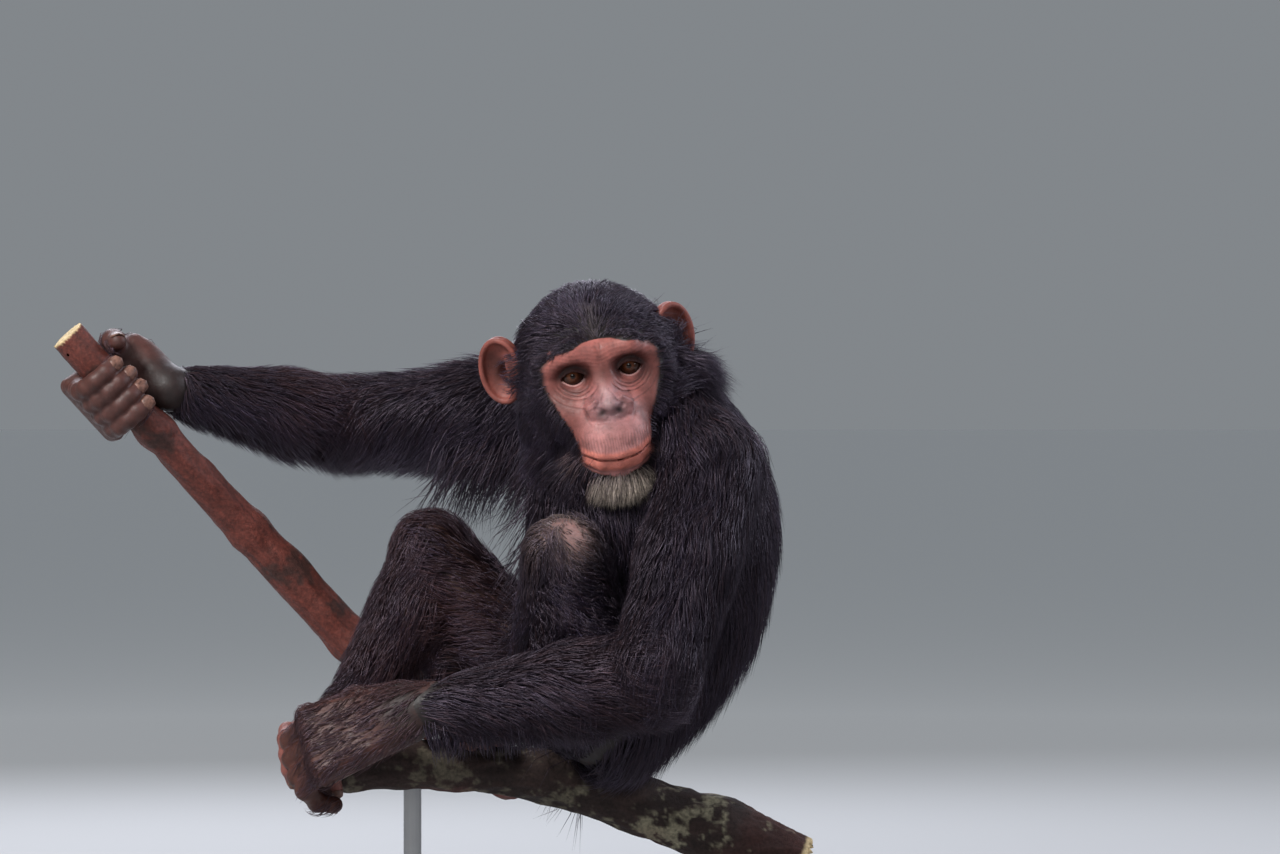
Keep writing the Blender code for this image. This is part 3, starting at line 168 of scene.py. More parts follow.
# Noise
class Noise:
    """Smooth noise from -1 to 1 on a lattice of seeded numbers."""

    def __init__(self, seed):
        self.table = np.random.default_rng(seed).uniform(-1, 1, 4096)

    def __call__(self, p, size):
        q = p / size
        cell = np.floor(q).astype(int)
        t = q - cell
        t = t * t * (3 - 2 * t)
        total = np.zeros(len(p))
        for i in (0, 1):
            for j in (0, 1):
                for k in (0, 1):
                    key = (cell[:, 0] + i) * 73 + (cell[:, 1] + j) * 179 + (cell[:, 2] + k) * 283
                    share = np.where(i, t[:, 0], 1 - t[:, 0])
                    share = share * np.where(j, t[:, 1], 1 - t[:, 1])
                    share = share * np.where(k, t[:, 2], 1 - t[:, 2])
                    total += self.table[(key * 2654435761 >> 7) % 4096] * share
        return total


NOISE = Noise(3)


# Distance fields: each takes points in rows and returns how far outside they are
def capsule(p, a, b, ra, rb):
    """A round bar from a to b that tapers from ra to rb."""
    ab = b - a
    t = np.clip(((p - a) @ ab) / (ab @ ab), 0, 1)
    return np.linalg.norm(p - a - t[:, None] * ab, axis=1) - (ra + (rb - ra) * t)


def ellipsoid(p, centre, radii, axes=None):
    """An ellipsoid, with its own axes in rows if they aren't the world's."""
    q = p - np.asarray(centre, float)
    if axes is not None:
        q = q @ axes.T
    radii = np.asarray(radii, float)
    near = np.linalg.norm(q / radii, axis=1)
    slope = np.linalg.norm(q / radii ** 2, axis=1)
    return near * (near - 1) / np.maximum(slope, 1e-9)


def join(a, b, k):
    """Union of two fields with a fillet of about k."""
    h = np.clip(0.5 + 0.5 * (b - a) / k, 0, 1)
    return b * (1 - h) + a * h - k * h * (1 - h)


def carve(a, b, k):
    """Field a with b taken out, edges eased by about k."""
    return -join(-a, b, k)


def string(p, points, radii, k):
    """A run of tapered bars through the points."""
    field = None
    for a, b, ra, rb in zip(points, points[1:], radii, radii[1:]):
        bar = capsule(p, a, b, ra, rb)
        field = bar if field is None else join(field, bar, k)
    return field


def within(p, points, reach, field):
    """The field near the points, and only the way to their box beyond that."""
    low = np.min(points, axis=0) - reach
    high = np.max(points, axis=0) + reach
    far = np.linalg.norm(np.maximum(np.maximum(low - p, p - high), 0), axis=1)
    d = far + reach * 0.3
    inside = far < 1e-9
    if inside.any():
        d[inside] = field(p[inside])
    return d


def facing(degrees):
    """Rows: the animal's left, its front and up, turned from -X towards -Y."""
    a = math.radians(degrees)
    return np.array([
        (math.sin(a), -math.cos(a), 0),
        (-math.cos(a), -math.sin(a), 0),
        (0, 0, 1),
    ])


def head_axes():
    """Rows: the head's left, its front and its crown, in world directions."""
    left = vec(math.cos(HEAD_ROUND), math.sin(HEAD_ROUND), 0)
    front = vec(math.sin(HEAD_ROUND), -math.cos(HEAD_ROUND), 0)
    up = vec(0, 0, 1)
    c = math.cos(HEAD_DOWN)
    s = math.sin(HEAD_DOWN)
    front, up = c * front - s * up, s * front + c * up
    return np.array([turned(v, vec(0, -1, 0), HEAD_OVER) for v in (left, front, up)])


HEAD_AXES = head_axes()


def head_place(x, y, z):
    """Return a place in the head's own frame as a world point."""
    return HEAD + vec(x, y, z) @ HEAD_AXES


def in_head(p):
    """Return world points in the head's own frame: x left, y front, z crown."""
    return (p - HEAD) @ HEAD_AXES.T


def head_form(s):
    """The bare head without its fine folds, for points on its left half."""
    d = ellipsoid(s, (0, -0.012, 0.010), (0.058, 0.074, 0.052))
    d = join(d, ellipsoid(s, (0, 0.028, -0.014), (0.046, 0.042, 0.044)), 0.020)
    d = join(d, ellipsoid(s, (0.043, 0.010, -0.006), (0.018, 0.034, 0.034)), 0.016)
    d = join(d, capsule(s, vec(0, 0.0570, 0.0235), vec(0.027, 0.0590, 0.0255), 0.0095, 0.0100), 0.014)
    d = join(d, capsule(s, vec(0.027, 0.0590, 0.0255), vec(0.0460, 0.0470, 0.0150), 0.0100, 0.0088), 0.006)
    d = join(d, capsule(s, vec(0.0460, 0.0470, 0.0150), vec(0.0475, 0.0440, -0.008), 0.0085, 0.0085), 0.008)
    d = join(d, capsule(s, vec(0.0475, 0.0440, -0.008), vec(0.036, 0.0560, -0.028), 0.0090, 0.0120), 0.012)
    d = join(d, capsule(s, vec(0.036, 0.0520, -0.026), vec(0.018, 0.0640, -0.030), 0.0120, 0.0110), 0.014)
    # Eye sockets
    d = carve(d, ellipsoid(s, (0.0250, 0.0665, 0.0070), (0.0165, 0.0120, 0.0120)), 0.006)
    # Bridge of the nose and muzzle
    d = join(d, capsule(s, vec(0, 0.0540, 0.0080), vec(0, 0.0730, -0.0100), 0.0075, 0.0080), 0.012)
    d = join(d, ellipsoid(s, (0, 0.0600, -0.0480), (0.0350, 0.0400, 0.0340)), 0.014)
    d = join(d, ellipsoid(s, (0, 0.0780, -0.0520), (0.0290, 0.0235, 0.0200)), 0.012)
    # Nose
    d = join(d, ellipsoid(s, (0, 0.0835, -0.0180), (0.0100, 0.0115, 0.0085)), 0.006)
    d = join(d, ellipsoid(s, (0.0125, 0.0795, -0.0205), (0.0085, 0.0105, 0.0082)), 0.005)
    # Jaw and chin
    d = join(d, ellipsoid(s, (0, 0.0580, -0.0800), (0.0300, 0.0330, 0.0190)), 0.010)
    d = join(d, capsule(s, vec(0.045, -0.002, -0.040), vec(0.024, 0.050, -0.076), 0.0170, 0.0140), 0.022)
    # Lips, rolled either side of the mouth
    for height, push, thick in ((-0.0592, 0.0985, 0.0056), (-0.0700, 0.0925, 0.0060)):
        middle = vec(0.0150, push - 0.0040, height + 0.0014)
        corner = vec(0.0270, push - 0.0150, height + 0.0040)
        d = join(d, capsule(s, vec(0, push, height), middle, thick, thick), 0.005)
        d = join(d, capsule(s, middle, corner, thick, thick * 0.6), 0.004)
    return d


def eye_polar(s):
    """Distance from the eye across the face, and how squarely below it a point lies."""
    x = s[:, 0] - EYE[0]
    z = s[:, 2] - EYE[2]
    return np.hypot(x * 0.92, z), -z / np.maximum(np.hypot(x, z), 1e-6)


def mouth_line(s):
    """Height above the line where the lips meet."""
    return s[:, 2] + MOUTH_HEIGHT - MOUTH_CURVE * s[:, 0] ** 2


# Folds under each eye: their distance from its middle and their depth
POUCH_FOLDS = ((0.0124, 0.0005), (0.0148, 0.0004), (0.0182, 0.0005), (0.0240, 0.0003))


def face_folds(s):
    """How deep the folds of the face go: under the eyes, round the nose and on the brow."""
    front = smooth(s[:, 1], 0.030, 0.045)
    radius, below = eye_polar(s)
    under = smooth(below, 0.05, 0.70)
    wobble = 0.0011 * NOISE(s, 0.0085)
    folds = np.zeros(len(s))
    for place, deep in POUCH_FOLDS:
        folds += deep * ridge(radius - place + wobble, 0.0006) * under
        folds -= deep * 0.45 * ridge(radius - place + 0.0014 + wobble, 0.0008) * under
    # Folds of the upper lid, under the brow
    folds += 0.0006 * ridge(radius - 0.0108 + wobble * 0.5, 0.0006) * smooth(-below, 0.10, 0.50)
    # Creases round the nose and from its wings down the muzzle
    nose = np.hypot(s[:, 0], (s[:, 2] + 0.0215) * 1.05)
    side = smooth(s[:, 0], 0.008, 0.016) * smooth(-s[:, 2], 0.006, 0.016) * smooth(0.040 + s[:, 2], 0, 0.016)
    folds += 0.0003 * ridge(nose - 0.0222 + wobble, 0.0012) * side
    # Fine lines over the brow, and one groove between the eyes
    brow = smooth(s[:, 2], 0.010, 0.018) * smooth(0.036 - s[:, 2], 0, 0.006)
    wave = s[:, 2] * 1700 + 2.5 * NOISE(s, 0.012) - s[:, 0] * 320
    folds += 0.00008 * (1 + np.sin(wave)) * brow
    folds += 0.0003 * ridge(s[:, 0] - 0.0022 + wobble * 2, 0.0012) * brow
    # Fine upright lines above the mouth
    lip = smooth(-s[:, 2], 0.036, 0.048) * smooth(0.060 + s[:, 2], 0, 0.006)
    folds += 0.00017 * (1 + np.sin(s[:, 0] * 2400 + 3 * NOISE(s, 0.010))) * lip
    return folds * front


def head_skin(q):
    """The bare head in its own frame, with its folds."""
    s = q.copy()
    s[:, 0] = np.abs(s[:, 0])
    d = head_form(s) + face_folds(s)
    # Lids round the eyeball
    d = join(d, ellipsoid(s, EYE, (0.0132, 0.0128, 0.0122)), 0.0030)
    # Wings that curl round the nostrils, then the slits between wing and middle
    wing = [
        vec(0.0060, 0.0905, -0.0275), vec(0.0150, 0.0860, -0.0255),
        vec(0.0178, 0.0835, -0.0185), vec(0.0120, 0.0865, -0.0125),
    ]
    d = join(d, string(s, wing, [0.0024, 0.0032, 0.0034, 0.0024], 0.002), 0.0022)
    slit = [vec(0.0034, 0.0970, -0.0262), vec(0.0075, 0.0950, -0.0222), vec(0.0122, 0.0910, -0.0180)]
    d = carve(d, string(s, slit, [0.0018, 0.0036, 0.0028], 0.001), 0.0010)
    d = carve(d, capsule(s, vec(0, 0.0965, -0.0295), vec(0.0130, 0.0925, -0.0300), 0.0012, 0.0008), 0.0022)
    # Mouth line and the opening between the lids
    line = np.abs(mouth_line(s)) - 0.0009
    slit = np.maximum(line, np.maximum(s[:, 0] - 0.0285, 0.060 - s[:, 1]))
    d = carve(d, np.maximum(slit, -d - 0.0040), 0.0020)
    e = s - EYE
    arch = 1 - (e[:, 0] / 0.0112) ** 2
    rim = np.maximum(e[:, 2] - 0.0006 - 0.0058 * arch, -e[:, 2] + 0.0006 - 0.0060 * arch)
    return carve(d, np.maximum(rim, 0.0040 - e[:, 1]), 0.0010)


def head_field(p):
    """The bare head in the world."""
    return head_skin(in_head(p))


def ear_field(p, centre, side):
    """A cupped ear: a bowl with a rolled rim and inner folds, open to the front."""
    q = in_head(p) - centre
    swing = math.radians(-28) * side
    c = math.cos(swing)
    s = math.sin(swing)
    q = np.stack([c * q[:, 0] + s * q[:, 1], -s * q[:, 0] + c * q[:, 1], q[:, 2]], 1)
    outer = ellipsoid(q, (0, -0.003, 0), (EAR_WIDE, EAR_DEEP, EAR_TALL))
    inner = ellipsoid(q, (0, 0.006, 0), (EAR_WIDE - 0.0030, EAR_DEEP, EAR_TALL - 0.0034))
    bowl = carve(np.maximum(outer, q[:, 1] - 0.0035), inner, 0.0015)
    angle = np.arctan2(q[:, 2] / EAR_TALL, q[:, 0] / EAR_WIDE)
    rim = np.stack([
        np.cos(angle) * (EAR_WIDE - 0.0024),
        np.full(len(q), 0.0025),
        np.sin(angle) * (EAR_TALL - 0.0024),
    ], 1)
    roll = np.linalg.norm(q - rim, axis=1) - 0.0027
    root = capsule(q, vec(-side * 0.012, -0.004, 0.004), vec(-side * 0.030, -0.006, -0.002), 0.0095, 0.0120)
    ear = join(join(bowl, roll, 0.0015), root, 0.006)
    # The flap before the opening, and the deep hollow
    flap = capsule(q, vec(-side * 0.011, 0.002, -0.010), vec(-side * 0.009, 0.002, 0.002), 0.0038, 0.0030)
    ear = join(ear, flap, 0.004)
    return carve(ear, ellipsoid(q, (-side * 0.002, -0.003, -0.004), (0.0070, 0.0080, 0.0100)), 0.004)


# Trunk, from the pelvis up: centre, radii (across, front to back, up) and how far it faces round
TRUNK_FORMS = [
    (vec(-0.014, 0.030, 0.292), (0.066, 0.062, 0.056), 14),
    (vec(0.008, 0.030, 0.360), (0.080, 0.090, 0.082), 20),
    (vec(0.008, 0.030, 0.432), (0.088, 0.104, 0.088), 26),
    (vec(0.000, 0.026, 0.498), (0.072, 0.090, 0.060), 28),
]
BUTTOCKS = [vec(-0.028, -0.016, 0.256), vec(-0.030, 0.078, 0.256)]


def trunk_field(p):
    """Pelvis, belly, chest, shoulders and neck without their coat."""
    d = None
    for centre, radii, turn in TRUNK_FORMS:
        form = ellipsoid(p, centre, radii, facing(turn))
        d = form if d is None else join(d, form, 0.040)
    for centre in BUTTOCKS:
        d = join(d, ellipsoid(p, centre, (0.044, 0.044, 0.046)), 0.024)
    d = join(d, capsule(p, SHOULDER_L, vec(0.010, 0.004, 0.528), 0.034, 0.038), 0.034)
    d = join(d, capsule(p, SHOULDER_R, vec(0.000, 0.036, 0.530), 0.038, 0.040), 0.034)
    return join(d, capsule(p, NECK_BASE, NECK_TOP, 0.048, 0.044), 0.030)


def arm_field(p, shoulder, elbow, wrist):
    """Upper arm and forearm without their coat."""
    middle = shoulder + (elbow - shoulder) * 0.45
    belly = elbow + (wrist - elbow) * 0.33
    d = capsule(p, shoulder, middle, 0.0360, 0.0360)
    d = join(d, capsule(p, middle, elbow, 0.0360, 0.0285), 0.010)
    d = join(d, capsule(p, elbow, belly, 0.0285, 0.0290), 0.012)
    return join(d, capsule(p, belly, wrist, 0.0290, 0.0190), 0.010)


# How far the flesh of each thigh hangs below the line from hip to knee
SAG_L = 0.006
SAG_R = 0.018
FOLD = 0.112


def leg_field(p, hip, knee, ankle, sag):
    """Thigh and shin without their coat."""
    middle = hip + (knee - hip) * 0.5 - vec(0, 0, sag)
    calf = knee + (ankle - knee) * 0.36 + square_to(hip - knee, ankle - knee) * 0.010
    d = capsule(p, hip, middle, 0.044, 0.0420)
    d = join(d, capsule(p, middle, knee, 0.0420, 0.0300), 0.012)
    d = join(d, capsule(p, knee, calf, 0.0280, 0.0300), 0.008)
    d = join(d, capsule(p, calf, ankle, 0.0300, 0.0180), 0.014)
    fold = knee + unit(unit(hip - knee) + unit(ankle - knee)) * FOLD
    return join(d, capsule(p, knee, fold, 0.0260, 0.0160), 0.010)


def palm(p, wrist, ahead, back, length, width, thickness):
    """The flat of a hand: ahead runs to the knuckles, back is its outer side."""
    side = unit(np.cross(ahead, back))
    ahead = unit(ahead)
    axes = np.array([side, ahead, np.cross(side, ahead)])
    q = (p - wrist - ahead * length * 0.52) @ axes.T
    half = np.array([width / 2 - 0.007, length * 0.5, thickness / 2 - 0.007])
    q[:, 0] /= 1 + 0.20 * np.clip(q[:, 1] / half[1], -1, 1)
    gaps = np.abs(q) - half
    return np.linalg.norm(np.maximum(gaps, 0), axis=1) + np.minimum(gaps.max(1), 0) - 0.008


def bent(start, ahead, axis, lengths, bends):
    """Points of a finger or toe: each length bends about axis from the one before."""
    points = [start]
    for length, bend in zip(lengths, bends):
        ahead = turned(ahead, axis, math.radians(bend))
        points.append(points[-1] + ahead * length)
    return points


def digit(p, points, radii, k):
    """A finger or toe with a slight knob at every joint and a full pad at its end."""
    d = string(p, points, radii, 0.003)
    for point, radius in zip(points[1:-1], radii[1:-1]):
        knob = np.linalg.norm(p - point, axis=1) - radius * 1.06
        d = join(d, knob, k)
    return d


HAND_L_AHEAD = unit(vec(-0.90, 0.10, -0.33))
HAND_L_BACK = square_to(vec(-0.15, -0.86, 0.48), HAND_L_AHEAD)
HAND_L_SIDE = np.cross(HAND_L_AHEAD, HAND_L_BACK) * np.sign(np.cross(HAND_L_AHEAD, HAND_L_BACK)[2])


def left_fingers():
    """Points and radii of the left hand's fingers, then its thumb."""
    curl = np.cross(HAND_L_AHEAD, -HAND_L_BACK)
    digits = []
    for across, size, lean in ((0.0230, 0.92, -4), (0.0080, 1.00, 0), (-0.0075, 0.97, 5), (-0.0225, 0.84, 10)):
        start = WRIST_L + HAND_L_AHEAD * (0.086 + 0.004 * size) + HAND_L_SIDE * across
        way = turned(HAND_L_AHEAD, HAND_L_BACK, math.radians(lean))
        lengths = [0.036 * size, 0.027 * size, 0.019 * size]
        digits.append((bent(start, way, curl, lengths, (40, 58, 42)), np.linspace(0.0092, 0.0076, 4)))
    thumb = [
        WRIST_L + HAND_L_AHEAD * 0.016 + HAND_L_SIDE * 0.018,
        WRIST_L + HAND_L_AHEAD * 0.042 + HAND_L_SIDE * 0.033 - HAND_L_BACK * 0.004,
        WRIST_L + HAND_L_AHEAD * 0.066 + HAND_L_SIDE * 0.036 - HAND_L_BACK * 0.012,
    ]
    return digits, (thumb, [0.0105, 0.0092, 0.0078])


LEFT_FINGERS, LEFT_THUMB = left_fingers()


def hand_left_field(p):
    """Left hand laid over the right foot, fingers curled down round its outer side."""
    d = palm(p, WRIST_L, HAND_L_AHEAD, HAND_L_BACK, 0.088, 0.062, 0.026)
    root = WRIST_L - HAND_L_AHEAD * 0.020
    d = join(d, capsule(p, root, WRIST_L + HAND_L_AHEAD * 0.020, 0.0200, 0.0190), 0.015)
    for points, radii in LEFT_FINGERS:
        d = join(d, digit(p, points, radii, 0.003), 0.004)
    # Tendons that stand out behind the knuckles
    for points, radii in LEFT_FINGERS:
        start = WRIST_L + HAND_L_AHEAD * 0.030 + (points[0] - WRIST_L - HAND_L_AHEAD * 0.088) * 0.5
        start = start + HAND_L_BACK * 0.0095
        d = join(d, capsule(p, start, points[0] + HAND_L_BACK * 0.0055, 0.0030, 0.0048), 0.006)
    return join(d, digit(p, *LEFT_THUMB, 0.003), 0.008)


GRIP = LIMB[4] + (LIMB[5] - LIMB[4]) * 0.42
GRIP_AXIS = unit(LIMB[5] - LIMB[4])
GRIP_NEAR = square_to(WRIST_R - GRIP, GRIP_AXIS)
GRIP_BEHIND = np.cross(GRIP_AXIS, GRIP_NEAR)
if GRIP_BEHIND[1] < 0:
    GRIP_BEHIND = -GRIP_BEHIND
GRIP_CENTRE = GRIP + GRIP_BEHIND * 0.0275


def right_fingers():
    """Points and radii of the right hand's fingers round the limb, then its thumb."""
    digits = []
    for along, sweep in ((0.0235, 158), (0.0080, 166), (-0.0075, 164), (-0.0225, 152)):
        points = []
        for step in range(7):
            angle = math.radians(35 + sweep * step / 6)
            reach = GRIP_BEHIND * math.cos(angle) - GRIP_NEAR * math.sin(angle)
            points.append(GRIP + GRIP_AXIS * along + reach * 0.0265)
        digits.append((points, np.linspace(0.0092, 0.0074, 7)))
    thumb = [
        GRIP_CENTRE + GRIP_NEAR * 0.035 + GRIP_AXIS * 0.026,
        GRIP + GRIP_NEAR * 0.031 + GRIP_AXIS * 0.034 + GRIP_BEHIND * 0.006,
        GRIP + GRIP_NEAR * 0.026 + GRIP_AXIS * 0.034 - GRIP_BEHIND * 0.016,
    ]
    return digits, (thumb, [0.0105, 0.0095, 0.0080])


RIGHT_FINGERS, RIGHT_THUMB = right_fingers()


def hand_right_field(p):
    """Right hand closed on the rising limb, palm behind it, fingers over the far side."""
    d = palm(p, GRIP_CENTRE + GRIP_NEAR * 0.050, -GRIP_NEAR, GRIP_BEHIND, 0.070, 0.060, 0.024)
    d = join(d, capsule(p, WRIST_R, GRIP_CENTRE + GRIP_NEAR * 0.044, 0.0195, 0.0185), 0.015)
    for points, radii in RIGHT_FINGERS:
        d = join(d, string(p, points, radii, 0.004), 0.003)
    return join(d, digit(p, *RIGHT_THUMB, 0.004), 0.006)


class Foot:
    """A foot laid across the branch, its toes over the near side."""

    def __init__(self, ankle, ball, heel, reach, toes, great_toe):
        self.ankle = ankle
        self.ball = ball
        self.heel = heel
        self.toes = []
        for x, drop in toes:
            points = [
                ball + vec(x, -0.006, 0.000),
                ball + vec(x, -reach * 0.72, -0.006),
                ball + vec(x + 0.001, -reach, -0.006 - drop * 0.35),
                ball + vec(x + 0.003, -reach - 0.0005, -0.006 - drop * 0.7),
                ball + vec(x + 0.006, -reach + 0.006, -0.006 - drop),
            ]
            self.toes.append((points, [0.0088, 0.0080, 0.0072, 0.0068, 0.0062]))
        great = [ball + np.asarray(step) for step in great_toe]
        self.toes.append((great, [0.0115, 0.0105, 0.0090, 0.0078]))

    def field(self, p):
        """Distance from the foot."""
        d = capsule(p, self.ankle, self.ball + vec(0, 0.030, 0.004), 0.0185, 0.0145)
        d = join(d, capsule(p, self.ankle, self.heel, 0.0185, 0.0175), 0.012)
        d = join(d, ellipsoid(p, self.ball + vec(0, 0.014, 0), (0.029, 0.030, 0.0130)), 0.012)
        for points, radii in self.toes[:-1]:
            d = join(d, digit(p, points, radii, 0.002), 0.0025)
        return join(d, digit(p, *self.toes[-1], 0.003), 0.008)


FOOT_LEFT = Foot(
    ANKLE_L, vec(-0.156, 0.010, 0.2490), vec(-0.104, 0.066, 0.251), 0.030,
    ((-0.014, 0.010), (-0.001, 0.012), (0.012, 0.011), (0.024, 0.008)),
    ((-0.022, 0.026, 0.0), (-0.034, 0.010, 0.000), (-0.038, -0.010, -0.002), (-0.036, -0.024, -0.006)),
)
FOOT_RIGHT = Foot(
    ANKLE_R, vec(-0.290, -0.006, 0.2430), vec(-0.262, 0.070, 0.244), 0.033,
    ((-0.026, 0.038), (-0.013, 0.042), (0.000, 0.048), (0.0125, 0.047)),
    ((0.020, 0.026, 0.0), (0.030, 0.006, -0.003), (0.0300, -0.022, -0.012), (0.0290, -0.032, -0.030)),
)


def branch_field(p):
    """The branch the animal sits on."""
    return string(p, BRANCH, BRANCH_RADII, 0.010)


def limb_field(p):
    """The limb that rises from the branch to the right hand."""
    return string(p, LIMB, LIMB_RADII, 0.010)


# The parts of the body: each with the points that its field keeps near
PARTS = {
    "head": ([HEAD], 0.125, head_field),
    "ear_left": ([head_place(*EAR_LEFT)], 0.050, lambda p: ear_field(p, EAR_LEFT, 1)),
    "ear_right": ([head_place(*EAR_RIGHT)], 0.050, lambda p: ear_field(p, EAR_RIGHT, -1)),
    "arm_left": ([SHOULDER_L, ELBOW_L, WRIST_L], 0.075, lambda p: arm_field(p, SHOULDER_L, ELBOW_L, WRIST_L)),
    "arm_right": ([SHOULDER_R, ELBOW_R, WRIST_R], 0.075, lambda p: arm_field(p, SHOULDER_R, ELBOW_R, WRIST_R)),
    "leg_left": ([HIP_L, KNEE_L, ANKLE_L], 0.075, lambda p: leg_field(p, HIP_L, KNEE_L, ANKLE_L, SAG_L)),
    "leg_right": ([HIP_R, KNEE_R, ANKLE_R], 0.075, lambda p: leg_field(p, HIP_R, KNEE_R, ANKLE_R, SAG_R)),
    "hand_left": ([WRIST_L, WRIST_L + HAND_L_AHEAD * 0.13], 0.060, hand_left_field),
    "hand_right": ([WRIST_R, GRIP], 0.065, hand_right_field),
    "foot_left": ([ANKLE_L, FOOT_LEFT.ball], 0.070, FOOT_LEFT.field),
    "foot_right": ([ANKLE_R, FOOT_RIGHT.ball], 0.070, FOOT_RIGHT.field),
}
PART_NAMES = ["trunk"] + list(PARTS)


def part_fields(p):
    """Distance from every part of the body, the trunk first."""
    return [trunk_field(p)] + [within(p, points, reach, field) for points, reach, field in PARTS.values()]


def skin_field(p):
    """The whole bare body, with fillets where its parts meet."""
    trunk, head, ear_l, ear_r, arm_l, arm_r, leg_l, leg_r, hand_l, hand_r, foot_l, foot_r = part_fields(p)
    ears = np.minimum(ear_l, ear_r)
    forms = [
        join(join(trunk, head, 0.010), ears, 0.004),
        join(trunk, join(arm_l, hand_l, 0.006), 0.024),
        join(trunk, join(arm_r, hand_r, 0.006), 0.030),
        join(trunk, join(leg_l, foot_l, 0.006), 0.012),
        join(trunk, join(leg_r, foot_r, 0.006), 0.012),
    ]
    return np.minimum.reduce(forms)


def way_out(field, p, nudge=0.0006):
    """Return the way out of a field at each point."""
    return rows_unit(np.stack([field(p + axis * nudge) - field(p - axis * nudge) for axis in np.eye(3)], 1))


# Meshing a field
CORNERS = np.array([(i, j, k) for i in (0, 1) for j in (0, 1) for k in (0, 1)])
EDGES = [(a, b) for a in range(8) for b in range(a + 1, 8) if np.abs(CORNERS[b] - CORNERS[a]).sum() == 1]
COARSE = 4


def near_cells(field, low, high, step):
    """Return the cells of a grid that lie near the field's surface."""
    wide = step * COARSE
    count = np.ceil((high - low) / wide).astype(int) + 1
    grid = np.stack(np.meshgrid(*[np.arange(n) for n in count], indexing="ij"), -1).reshape(-1, 3)
    grid = grid[np.abs(field(low + (grid + 0.5) * wide)) < wide]
    inner = np.stack(np.meshgrid(*[np.arange(COARSE)] * 3, indexing="ij"), -1).reshape(-1, 3)
    return (grid[:, None] * COARSE + inner).reshape(-1, 3), count * COARSE + 2


def surface_net(field, low, high, step):
    """Return points and four-sided faces on the surface where the field is zero."""
    low = np.asarray(low, float)
    cells, count = near_cells(field, low, np.asarray(high, float), step)

    def key(c):
        return (c[:, 0] * count[1] + c[:, 1]) * count[2] + c[:, 2]

    places = np.unique(np.concatenate([key(cells + c) for c in CORNERS]))
    grid = np.stack([
        places // (count[1] * count[2]),
        places // count[2] % count[1],
        places % count[2],
    ], -1)
    values = field(low + grid * step)
    at = values[np.stack([np.searchsorted(places, key(cells + c)) for c in CORNERS], 1)]
    crossed = (at.min(1) < 0) & (at.max(1) >= 0)
    cells = cells[crossed]
    at = at[crossed]
    order = np.argsort(key(cells))
    cells = cells[order]
    at = at[order]
    keys = key(cells)

    # One point in each crossed cell, at the mean of its edges' crossings
    total = np.zeros((len(cells), 3))
    hits = np.zeros(len(cells))
    for a, b in EDGES:
        crossing = (at[:, a] < 0) != (at[:, b] < 0)
        span = np.where(at[:, a] == at[:, b], 1, at[:, a] - at[:, b])
        t = np.where(crossing, at[:, a] / span, 0)
        total += crossing[:, None] * (CORNERS[a] + t[:, None] * (CORNERS[b] - CORNERS[a]))
        hits += crossing
    points = low + (cells + total / hits[:, None]) * step

    def index(c):
        found = np.minimum(np.searchsorted(keys, key(c)), len(keys) - 1)
        return np.where(keys[found] == key(c), found, -1)

    # One face round each grid edge that the surface crosses
    faces = []
    sides = np.eye(3, dtype=int)
    for axis in range(3):
        b = sides[(axis + 1) % 3]
        c = sides[(axis + 2) % 3]
        far = int(np.flatnonzero((CORNERS == sides[axis]).all(1))[0])
        crossing = (at[:, 0] < 0) != (at[:, far] < 0)
        base = cells[crossing]
        inside = at[crossing, 0] < 0
        quads = np.stack([index(base), index(base - b), index(base - b - c), index(base - c)], 1)
        whole = (quads >= 0).all(1)
        quads = quads[whole]
        inside = inside[whole]
        quads[~inside] = quads[~inside][:, ::-1]
        faces.append(quads)
    return settle(field, points, step), np.concatenate(faces)


def settle(field, points, step, rounds=2):
    """Move the points onto the surface."""
    for _ in range(rounds):
        nudge = step * 0.25
        slope = np.stack([
            (field(points + axis * nudge) - field(points - axis * nudge)) / (2 * nudge)
            for axis in np.eye(3)
        ], 1)
        move = field(points)[:, None] * slope / np.maximum((slope ** 2).sum(1), 0.25)[:, None]
        far = np.linalg.norm(move, axis=1)
        points = points - move * np.minimum(1, step * 0.6 / np.maximum(far, 1e-12))[:, None]
    return points


def link(name, mesh):
    """Link a new object for the mesh."""
    made = bpy.data.objects.new(name, mesh)
    bpy.context.collection.objects.link(made)
    return made


def mesh_of(name, points, faces):
    """Make a mesh from arrays of points and of faces with equally many corners."""
    mesh = bpy.data.meshes.new(name)
    count = faces.shape[1]
    mesh.vertices.add(len(points))
    mesh.vertices.foreach_set("co", np.ascontiguousarray(points, np.float32).ravel())
    mesh.loops.add(faces.size)
    mesh.loops.foreach_set("vertex_index", np.ascontiguousarray(faces, np.int32).ravel())
    mesh.polygons.add(len(faces))
    mesh.polygons.foreach_set("loop_start", np.arange(0, faces.size, count, dtype=np.int32))
    mesh.update(calc_edges=True)
    mesh.shade_smooth()
    return mesh


def points_of(mesh):
    """Return the mesh's points as an array."""
    points = np.empty(len(mesh.vertices) * 3, np.float32)
    mesh.vertices.foreach_get("co", points)
    return points.reshape(-1, 3).astype(float)


def paint(mesh, name, colours):
    """Store a colour for every point of the mesh."""
    layer = mesh.attributes.new(name, "FLOAT_COLOR", "POINT")
    rows = np.ones((len(colours), 4), np.float32)
    rows[:, :3] = colours
    layer.data.foreach_set("color", rows.ravel())


